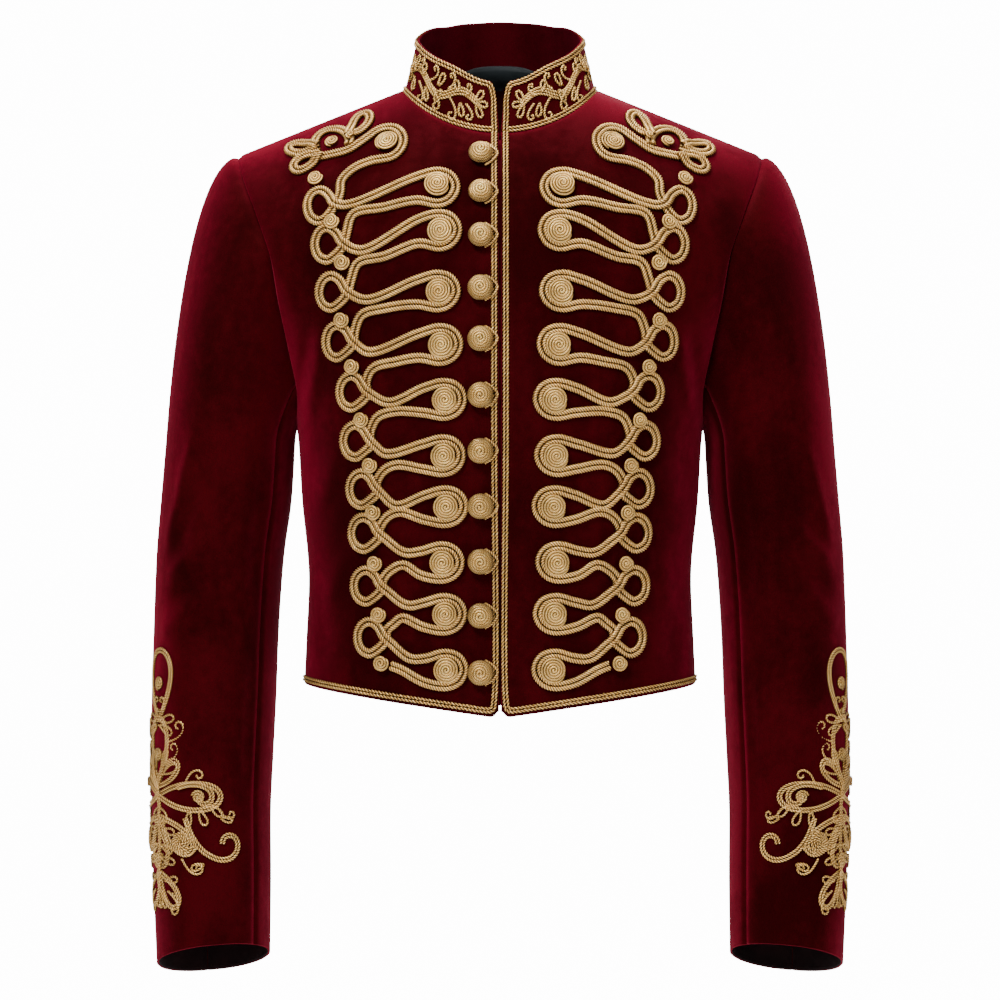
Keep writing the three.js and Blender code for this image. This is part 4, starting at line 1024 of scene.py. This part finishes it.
def woven_lining(name, base, light, gloss):
    finish = Finish(name)
    place = finish.node("ShaderNodeTexCoord").outputs["Object"]
    threads = finish.node("ShaderNodeTexWave", {"Vector": place, "Scale": 900.0, "Distortion": 1.5},
                          wave_type="BANDS", bands_direction="DIAGONAL").outputs["Fac"]
    cloudy = finish.noise(place, 30.0, 3.0)
    colour = finish.blend(finish.ramp(cloudy, 0.3, 0.7), (*base, 1), (*light, 1))
    bump = finish.node("ShaderNodeBump", {"Strength": 0.25, "Distance": 0.0003, "Height": threads}).outputs[0]
    rough = finish.ramp(cloudy, 0.2, 0.8, 0.42, 0.58)
    shader = finish.node("ShaderNodeBsdfPrincipled", {
        "Base Color": colour, "Roughness": rough, "Normal": bump})
    shader.inputs["Specular IOR Level"].default_value = gloss
    finish.node("ShaderNodeOutputMaterial", {"Surface": shader.outputs[0]})
    return finish.material


def plain_white(name, value, glow=0.0):
    finish = Finish(name)
    place = finish.node("ShaderNodeTexCoord").outputs["Object"]
    tone = finish.ramp(finish.noise(place, 2.0), 0.0, 1.0, value - 0.01, value + 0.01)
    shader = finish.node("ShaderNodeBsdfPrincipled", {"Base Color": tone, "Roughness": 0.9})
    shader.inputs["Emission Color"].default_value = (1, 1, 1, 1)
    seen = finish.node("ShaderNodeLightPath").outputs["Is Camera Ray"]
    finish.tree.links.new(finish.ramp(seen, 0.0, 1.0, 0.3, glow), shader.inputs["Emission Strength"])
    finish.node("ShaderNodeOutputMaterial", {"Surface": shader.outputs[0]})
    return finish.material


NAP = nap_group()
# The third colour of each velvet is the edge colour of its painted sheen; the last entry sets the shader's own sheen.
VELVET = velvet("burgundy_velvet", NAP, (0.016, 0.0002, 0.0006), (0.038, 0.0004, 0.0016),
                (0.17, 0.004, 0.016), (0.1, 0.3, (0.8, 0.08, 0.16)))
# The same velvet with slightly lighter base tones and a weaker edge colour: painted light on the collar's inner face
# and the back neck's lower faces.
INSIDE_VELVET = velvet("inner_velvet", NAP, (0.016, 0.0002, 0.0008), (0.04, 0.0006, 0.0024),
                       (0.13, 0.004, 0.016), (0.08, 0.35, (0.8, 0.08, 0.16)))
SATIN = woven_lining("body_lining", (0.004, 0.0008, 0.001), (0.009, 0.002, 0.0024), 0.08)
NECK_LINING = woven_lining("neck_lining", (0.004, 0.006, 0.0068), (0.013, 0.0165, 0.018), 0.12)
# Each gold has a base colour, a painted glint colour and a painted shade colour for its grooves and undersides.
GOLD = gold_thread("gold_cord", (0.78, 0.42, 0.105), (1.0, 0.72, 0.32), (0.07, 0.022, 0.003), 0.8, 0.42)
COILED_GOLD = gold_thread("coiled_gold", (0.8, 0.44, 0.105), (1.0, 0.74, 0.32), (0.08, 0.027, 0.003), 0.82, 0.4, True)
CORD_TREE = twisted_cord_tree(GOLD)

# ---------------------------------------------------------------- cloth

FINE = 5
BODY_MIDDLE = np.array([0, 0, -250.0])
made = []


def keep(piece, slot, *nodes):
    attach(piece, "root")
    if nodes:
        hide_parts(*nodes)
    made.append(piece)
    return piece


def sheet_of(piece):
    """Reads the area of each face of a panel's mesh."""
    mesh = piece.data
    areas = np.zeros(len(mesh.polygons))
    mesh.polygons.foreach_get("area", areas)


for side, name in ((-1, "right"), (1, "left")):
    grid = half_panel(False, side, FINE)
    seams = ["high", "right"]
    front = shell(f"front_{name}_velvet", grid, BODY_MIDDLE, seams, VELVET, SATIN)
    keep(front, "velvet", f"front_{name}")
    sheet_of(front)

half = half_panel(True, 1, FINE)
grid = np.concatenate([(half * [-1, 1, 1])[:, ::-1], half[:, 1:]], axis=1)
back = shell("back_velvet", grid, BODY_MIDDLE, ["high", "left", "right"], VELVET, SATIN)
keep(back, "velvet", "back")
sheet_of(back)

for side, name in ((-1, "right"), (1, "left")):
    middle = np.array([230.0 * side, -10, -400])
    upper = sleeve_part(side, BACK_SEAM, FRONT_SEAM + SLEEVE_COLUMNS, 4)
    under = sleeve_part(side, FRONT_SEAM, BACK_SEAM, 4)
    for part, rows, flat in (("upper", upper, (0.32, 0.74)), ("under", under, (0.20, 0.62))):
        cloth = shell(f"sleeve_{part}_{name}_velvet", rows, middle, ["left", "right"], VELVET, SATIN)
        keep(cloth, "velvet", f"sleeve_{part}_{name}")
        sheet_of(cloth)

shares = np.array([-0.09, -0.045, 0, 0.03, 0.07, 0.14, 0.25, 0.4, 0.55, 0.7, 0.82, 0.9, 0.955, 0.985, 1.0])
grid = np.array([above_neck(NECK, np.full(len(NECK), share)) for share in shares])
collar = shell("collar_velvet", grid, np.array([0, 0, 10.0]), [], VELVET, INSIDE_VELVET, 2.2)
keep(collar, "velvet", "collar")
sheet_of(collar)

across = np.linspace(-15, 15, 9)
heights = np.linspace(-49, -498, 60)
grid = np.array([on_body(np.abs(across), np.full(9, z), False, 1) * np.stack(
    [np.sign(across) + (across == 0), np.ones(9), np.ones(9)], axis=1) for z in heights])
point_y = grid[..., 1] + CLOTH + 0.9
underlap = shell("underlap_velvet", np.stack([grid[..., 0], point_y, grid[..., 2]], axis=-1),
                 BODY_MIDDLE, [], VELVET, SATIN, 1.2)
keep(underlap, "velvet", "underlap")
sheet_of(underlap)

across = np.linspace(-50, 50, 41)
rows = []
seat = back_cloth(across, neckline(np.abs(across), True))
inward = -seat * [1, 1, 0] / np.hypot(seat[:, :1], seat[:, 1:2])
near_middle = np.exp(-((across / 30) ** 6))
for step in (3, 2, 1, 0):
    share = 0.004 + 0.009 * step + 0.023 * step * near_middle
    rows.append(above_neck(seat, share) + inward * (6.6 - 18 * share)[:, None])
for drop in np.linspace(2, 52, 21):
    point, out = frames_on(back_cloth, np.stack([across, neckline(np.abs(across), True) - drop], axis=1))
    sag = 0.5 * np.sin(across[:, None] / 9) * drop / 52 + 3.2 * np.exp(-((drop / 8) ** 2))
    rows.append(point - out * (CLOTH + 1.6 + sag))
lining = shell("back_neck_satin", np.array(rows), BODY_MIDDLE, [], NECK_LINING, NECK_LINING, 0.8)
keep(lining, "lining", "back_neck_lining")
sheet_of(lining)
lining.data.materials.append(INSIDE_VELVET)
for face in lining.data.polygons:
    if face.center.z < 0.008:
        face.material_index = 2

# ---------------------------------------------------------------- frogging

for side, name in ((-1, "right"), (1, "left")):
    surface = front_cloth(side)
    first = turned([(-toward, up) for toward, up in AROUND_DISC], SHOULDER_DISC, -SHOULDER_TILT)
    run = [*SHOULDER_START, *first, *SHOULDER_END]
    middle, height, half, rise = SHOULDER_ARCH
    arch = [(middle - half * math.cos(a), height + rise * math.sin(a)) for a in np.linspace(-0.25, math.pi + 0.35, 15)]
    for index, (disc, ring, dip, crest, turn, stud) in enumerate(FROGS):
        for degrees in (-44, -88, -132, -180, -228, -270, -315):
            angle = math.radians(degrees)
            run.append((ring[0] - RING_ACROSS * math.cos(angle), ring[1] + RING_TALL * math.sin(angle)))
        run += [(ring[0] - 13.5, ring[1]), dip]
        off, lift = FIRST_LOOP if index == 0 else (0, 0)
        run += [(disc[0] - off - toward, disc[1] + lift + up) for toward, up in AROUND_DISC]
        if index + 1 < len(FROGS):
            after = FROGS[index + 1]
            run += [crest, (after[4][0] - ARCH_IN, crest[1] - ARCH_DOWN), after[4], (after[1][0] - 12.8, after[1][1] - 2.2)]
    run += [(78, -470), (86, -467)]
    paths = pair_of_cords(surface, [run, arch, *cord_loops(SHOULDER_LOOPS)], THICK_CORD, spread=THICK_SPREAD)
    frogging = cords(f"frogging_{name}_cord", paths, CORD_TREE, GOLD, radius=THICK_CORD / 1000,
                     lay_length=0.0066, step=0.0009, corners=9, ply_relief=0.28)
    keep(frogging, "gold_cord", f"frogging_{name}")
    coils = [coil(surface, SHOULDER_DISC, 10.8, COIL_CORD, 4.0)]
    for disc, ring, dip, crest, turn, stud in FROGS:
        coils.append(coil(surface, disc, 11.5, COIL_CORD, 4.2))
        coils.append(coil(surface, stud, 7.6, COIL_CORD, 2.6, 1.9))
    coils.append(coil(surface, LAST_STUD, 7.6, COIL_CORD, 2.6, 1.9))
    coils.append(coil(surface, SHOULDER_STUD, 6.8, COIL_CORD, 2.2, 0.6))
    coils.append(coil(surface, SHOULDER_JOIN, 4.9, COIL_CORD, 1.6, 3.4))
    wound = cords(f"coils_{name}", coils, CORD_TREE, COILED_GOLD, radius=COIL_CORD / 1000,
                  plies=3.0, lay_length=0.0036, step=0.0008, corners=8, ply_relief=0.1)
    keep(wound, "gold_cord")

# ---------------------------------------------------------------- edge cords

HEM_IN = 4.4
EDGE_IN = 4.6
reach = float(reading(TORSO, "half", HEM_SIDE)) - 1.0
for side, name in ((-1, "right"), (1, "left")):
    line = [(EDGE_IN, -42), (EDGE_IN, -280), (EDGE_IN, -494), (EDGE_IN + 1.8, -501.5)]
    line += [(a, float(hemline(a, False)) + HEM_IN) for a in np.arange(13, reach, 12)]
    line.append((reach, float(hemline(reach, False)) + HEM_IN))
    paths = pair_of_cords(front_cloth(side), [line], THIN_CORD, 5.4, 0.75)
    edging = cords(f"edge_cord_{name}_twist", paths, CORD_TREE, GOLD, radius=THIN_CORD / 1000,
                   plies=2.0, lay_length=0.006, step=0.0007, corners=7, ply_relief=0.34)
    keep(edging, "gold_cord", f"edge_cord_{name}")

line = [(reach * step / 12, float(hemline(abs(reach * step / 12), True)) + HEM_IN) for step in range(-12, 13)]
paths = pair_of_cords(back_cloth, [line], THIN_CORD, 5.4, 0.75)
keep(cords("hem_cord_back_twist", paths, CORD_TREE, GOLD, radius=THIN_CORD / 1000,
           plies=2.0, lay_length=0.006, step=0.0008, corners=6, ply_relief=0.3), "gold_cord", "hem_cord_back")

length = float(NECK_REACH[-1])
low, high, inset = 0.6, COLLAR_HEIGHT - 2.0, 2.8
edge = [(length - inset, -1.5), (length - inset, 14), (length - inset, high - 8), (length - inset - 3, high - 1.6),
        (length - 20, high)]
edge += [(length - 20 + (40 - length) * step / 12, high) for step in range(1, 12)]
edge += [(20, high), (inset + 3, high - 1.6), (inset, high - 8), (inset, 14), (inset, -1.5)]
seam = [(inset + 2.5 + (length - 2 * inset - 5) * step / 24, low) for step in range(25)]
paths = pair_of_cords(collar_cloth, [seam, edge], THIN_CORD, 5.4, 0.75)
keep(cords("collar_cord_twist", paths, CORD_TREE, GOLD, radius=THIN_CORD / 1000,
           plies=2.0, lay_length=0.006, step=0.0007, corners=7, ply_relief=0.3), "gold_cord", "collar_cord")

for side, name in ((-1, "right"), (1, "left")):
    sprig = [*running_stem(), *cord_loops(SPRIG_LEAVES), *cord_scrolls(SPRIG_SCROLLS)]
    sprig = [[(a if side < 0 else length - a, b) for a, b in line] for line in sprig]
    paths = single_cords(collar_cloth, sprig, 1.05)
    keep(cords(f"collar_sprig_{name}_cord", paths, CORD_TREE, COILED_GOLD, radius=0.00105, plies=2.0,
               lay_length=0.0046, step=0.0007, corners=8, ply_relief=0.22), "gold_cord", f"collar_sprig_{name}")
    surface = cuff_cloth(side)
    braids = mirrored([*cord_loops(CUFF_LOOPS), *cord_scrolls(CUFF_SCROLLS)])
    braids += [*cord_loops(CUFF_MIDDLE_LOOPS), CUFF_SPINE]
    threads = mirrored([*cord_loops(CUFF_LEAVES), *cord_scrolls(CUFF_CURLS)])
    spirals = [((a * way, b), wide, tall) for a, b, wide, tall in zip(*CUFF_SPIRALS.values())
               for way in ((1, -1) if a else (1,))]
    paths = [oval_coil(surface, *spiral, BRAID_CORD, 1.2) for spiral in spirals if spiral[1] > 8]
    paths += pair_of_cords(surface, braids, BRAID_CORD, 5.2, 0.7)
    keep(cords(f"cuff_knot_{name}_cord", paths, CORD_TREE, GOLD, radius=BRAID_CORD / 1000, plies=2.0,
               lay_length=0.0048, step=0.0007, corners=8, ply_relief=0.28), "gold_cord", f"cuff_knot_{name}")
    paths = [oval_coil(surface, *spiral, THREAD_CORD, 0.8) for spiral in spirals if spiral[1] <= 8]
    paths += single_cords(surface, threads, THREAD_CORD)
    keep(cords(f"cuff_threads_{name}", paths, CORD_TREE, COILED_GOLD, radius=THREAD_CORD / 1000, plies=2.0,
               lay_length=0.0046, step=0.0007, corners=6, ply_relief=0.24), "gold_cord")

# ---------------------------------------------------------------- buttons


def covered_button(index, height):
    """A domed button wound over with thin cord, on a short shank."""
    radius = TOP_BUTTON if index < 3 else BUTTON
    surface = front_cloth(-1)
    point, out = frames_on(surface, np.array([[BUTTON_OUT, height]]))
    point, out = point[0], out[0]
    aside = np.cross([0, 0, 1.0], out)
    aside /= np.linalg.norm(aside)
    up = np.cross(out, aside)
    core = radius - 1.4
    profile = [(0.0, 0.3), (3.2, 0.3), (3.4, 3.0), (core * 0.86, 3.3), (core * 0.97, 4.2), (core, 5.0)]
    profile += [(core * math.cos(a), 5.0 + 6.4 * math.sin(a)) for a in np.linspace(0.15, 1.5, 10)]
    profile.append((0.0, 11.4))
    sides = 40
    angle = 2 * np.pi * np.arange(sides) / sides
    points, faces = [], []
    for far, high in profile[1:-1]:
        points.append(point + out * high + (aside * np.cos(angle)[:, None] + up * np.sin(angle)[:, None]) * far)
    points = np.vstack([*points, point + out * 0.3, point + out * 11.4])
    levels = len(profile) - 2
    for level in range(levels - 1):
        for step in range(sides):
            nxt = (step + 1) % sides
            faces.append((level * sides + step, level * sides + nxt,
                          (level + 1) * sides + nxt, (level + 1) * sides + step))
    foot, top = levels * sides, levels * sides + 1
    for step in range(sides):
        nxt = (step + 1) % sides
        faces.append((foot, nxt, step))
        faces.append((top, (levels - 1) * sides + step, (levels - 1) * sides + nxt))
    # The dome under the winding has no cord values, so its colour is painted dark, as shade between the turns.
    base = new_object(f"button_{index + 1:02d}_dome", points, faces, [COILED_GOLD])
    pitch = 2.1
    turns = radius * 1.35 / pitch
    wind = np.linspace(0, 2 * np.pi * turns, int(turns * 26))
    arc = wind / wind[-1] * 1.66
    far = (core + 0.3) * np.sin(np.minimum(arc, np.pi / 2)) + 0.1
    high = 5.0 + 6.7 * np.cos(arc)
    path = (point + out * high[:, None]
            + (aside * np.cos(wind + index)[:, None] + up * np.sin(wind + index)[:, None]) * far[:, None])
    away = (out * np.cos(arc)[:, None]
            + (aside * np.cos(wind + index)[:, None] + up * np.sin(wind + index)[:, None]) * np.sin(arc)[:, None])
    # Painted light: brighter at the dome's top and darker towards its rim.
    top = 0.9 * np.clip(np.cos(arc), 0, 1) ** 1.6
    wound = cords(f"button_{index + 1:02d}_winding", [(path, away, top)], CORD_TREE, COILED_GOLD, radius=0.0011,
                  plies=3.0, lay_length=0.0042, step=0.0005, corners=6, ply_relief=0.13)
    with bpy.context.temp_override(active_object=wound, selected_editable_objects=[wound, base],
                                   selected_objects=[wound, base], object=wound):
        bpy.ops.object.join()
    wound.name = f"button_{index + 1:02d}_covered"
    return wound


loops = []
for index, height in enumerate(BUTTON_HEIGHTS):
    keep(covered_button(index, height), "gold_cord", f"button_{index + 1:02d}")
    size = TOP_BUTTON if index < 3 else BUTTON
    loops.append([
        (BUTTON_OUT - size * 0.35, height + size * 0.98), (BUTTON_OUT - size * 0.9, height + size * 0.62),
        (1.9, height + 0.5), (BUTTON_OUT - size * 0.9, height - size * 0.62),
        (BUTTON_OUT - size * 0.35, height - size * 0.98),
    ])
paths = []
for line in loops:
    line = smooth_line(line, 0.8)
    point, out = frames_on(front_cloth(-1), line)
    paths.append((point + out * 3.6, out))
keep(cords("button_loops", paths, CORD_TREE, GOLD, radius=0.001, plies=2.0, lay_length=0.0042,
           step=0.0006, corners=6), "gold_cord")

# ---------------------------------------------------------------- studio


def studio():
    """A pale floor that curves up behind, soft lights and the camera."""
    width, front_edge, back_edge, floor_z, top = 16000, -7000, 8000, -1250, 8000
    bend = 1200
    profile = [(front_edge, floor_z), (back_edge - bend, floor_z)]
    profile += [(back_edge - bend + bend * math.sin(a), floor_z + bend * (1 - math.cos(a)))
                for a in np.linspace(0.1, math.pi / 2, 12)]
    profile.append((back_edge, top))
    points = [(x, y, z) for y, z in profile for x in (-width / 2, width / 2)]
    faces = [(2 * i, 2 * i + 1, 2 * i + 3, 2 * i + 2) for i in range(len(profile) - 1)]
    floor = new_object("floor", points, faces, [plain_white("pale_floor", 0.93, 14.0)])
    world = bpy.data.worlds.new("studio")
    world.use_nodes = True
    world.node_tree.nodes["Background"].inputs["Color"].default_value = (1, 1, 1, 1)
    world.node_tree.nodes["Background"].inputs["Strength"].default_value = 0.15
    bpy.context.scene.world = world
    for name, place, target, size, power in (
        ("key", (-1.1, -2.4, 1.9), (0, 0, -0.3), 0.7, 135),
        ("fill", (1.8, -2.3, 1.1), (0, 0, -0.35), 1.2, 40),
        ("top", (0.0, 0.1, 2.1), (0, 0, -0.2), 1.4, 70),
        ("back", (0.9, 2.7, 1.1), (0, 0, -0.3), 1.4, 45),
    ):
        lamp = bpy.data.lights.new(name, "AREA")
        lamp.energy = power
        lamp.size = size
        thing = bpy.data.objects.new(name, lamp)
        bpy.context.scene.collection.objects.link(thing)
        thing.location = place
        aim = mathutils.Vector(target) - mathutils.Vector(place)
        thing.rotation_euler = aim.to_track_quat("-Z", "Y").to_euler()
    lens = bpy.data.cameras.new("camera")
    lens.sensor_width = 36
    lens.lens = 36 * 2.8 / 0.82
    camera = bpy.data.objects.new("camera", lens)
    camera.location = (0.0, -2.8, -0.336)
    camera.rotation_euler = (math.pi / 2, 0, 0)
    bpy.context.scene.collection.objects.link(camera)
    bpy.context.scene.camera = camera


studio()
bpy.context.view_layer.update()
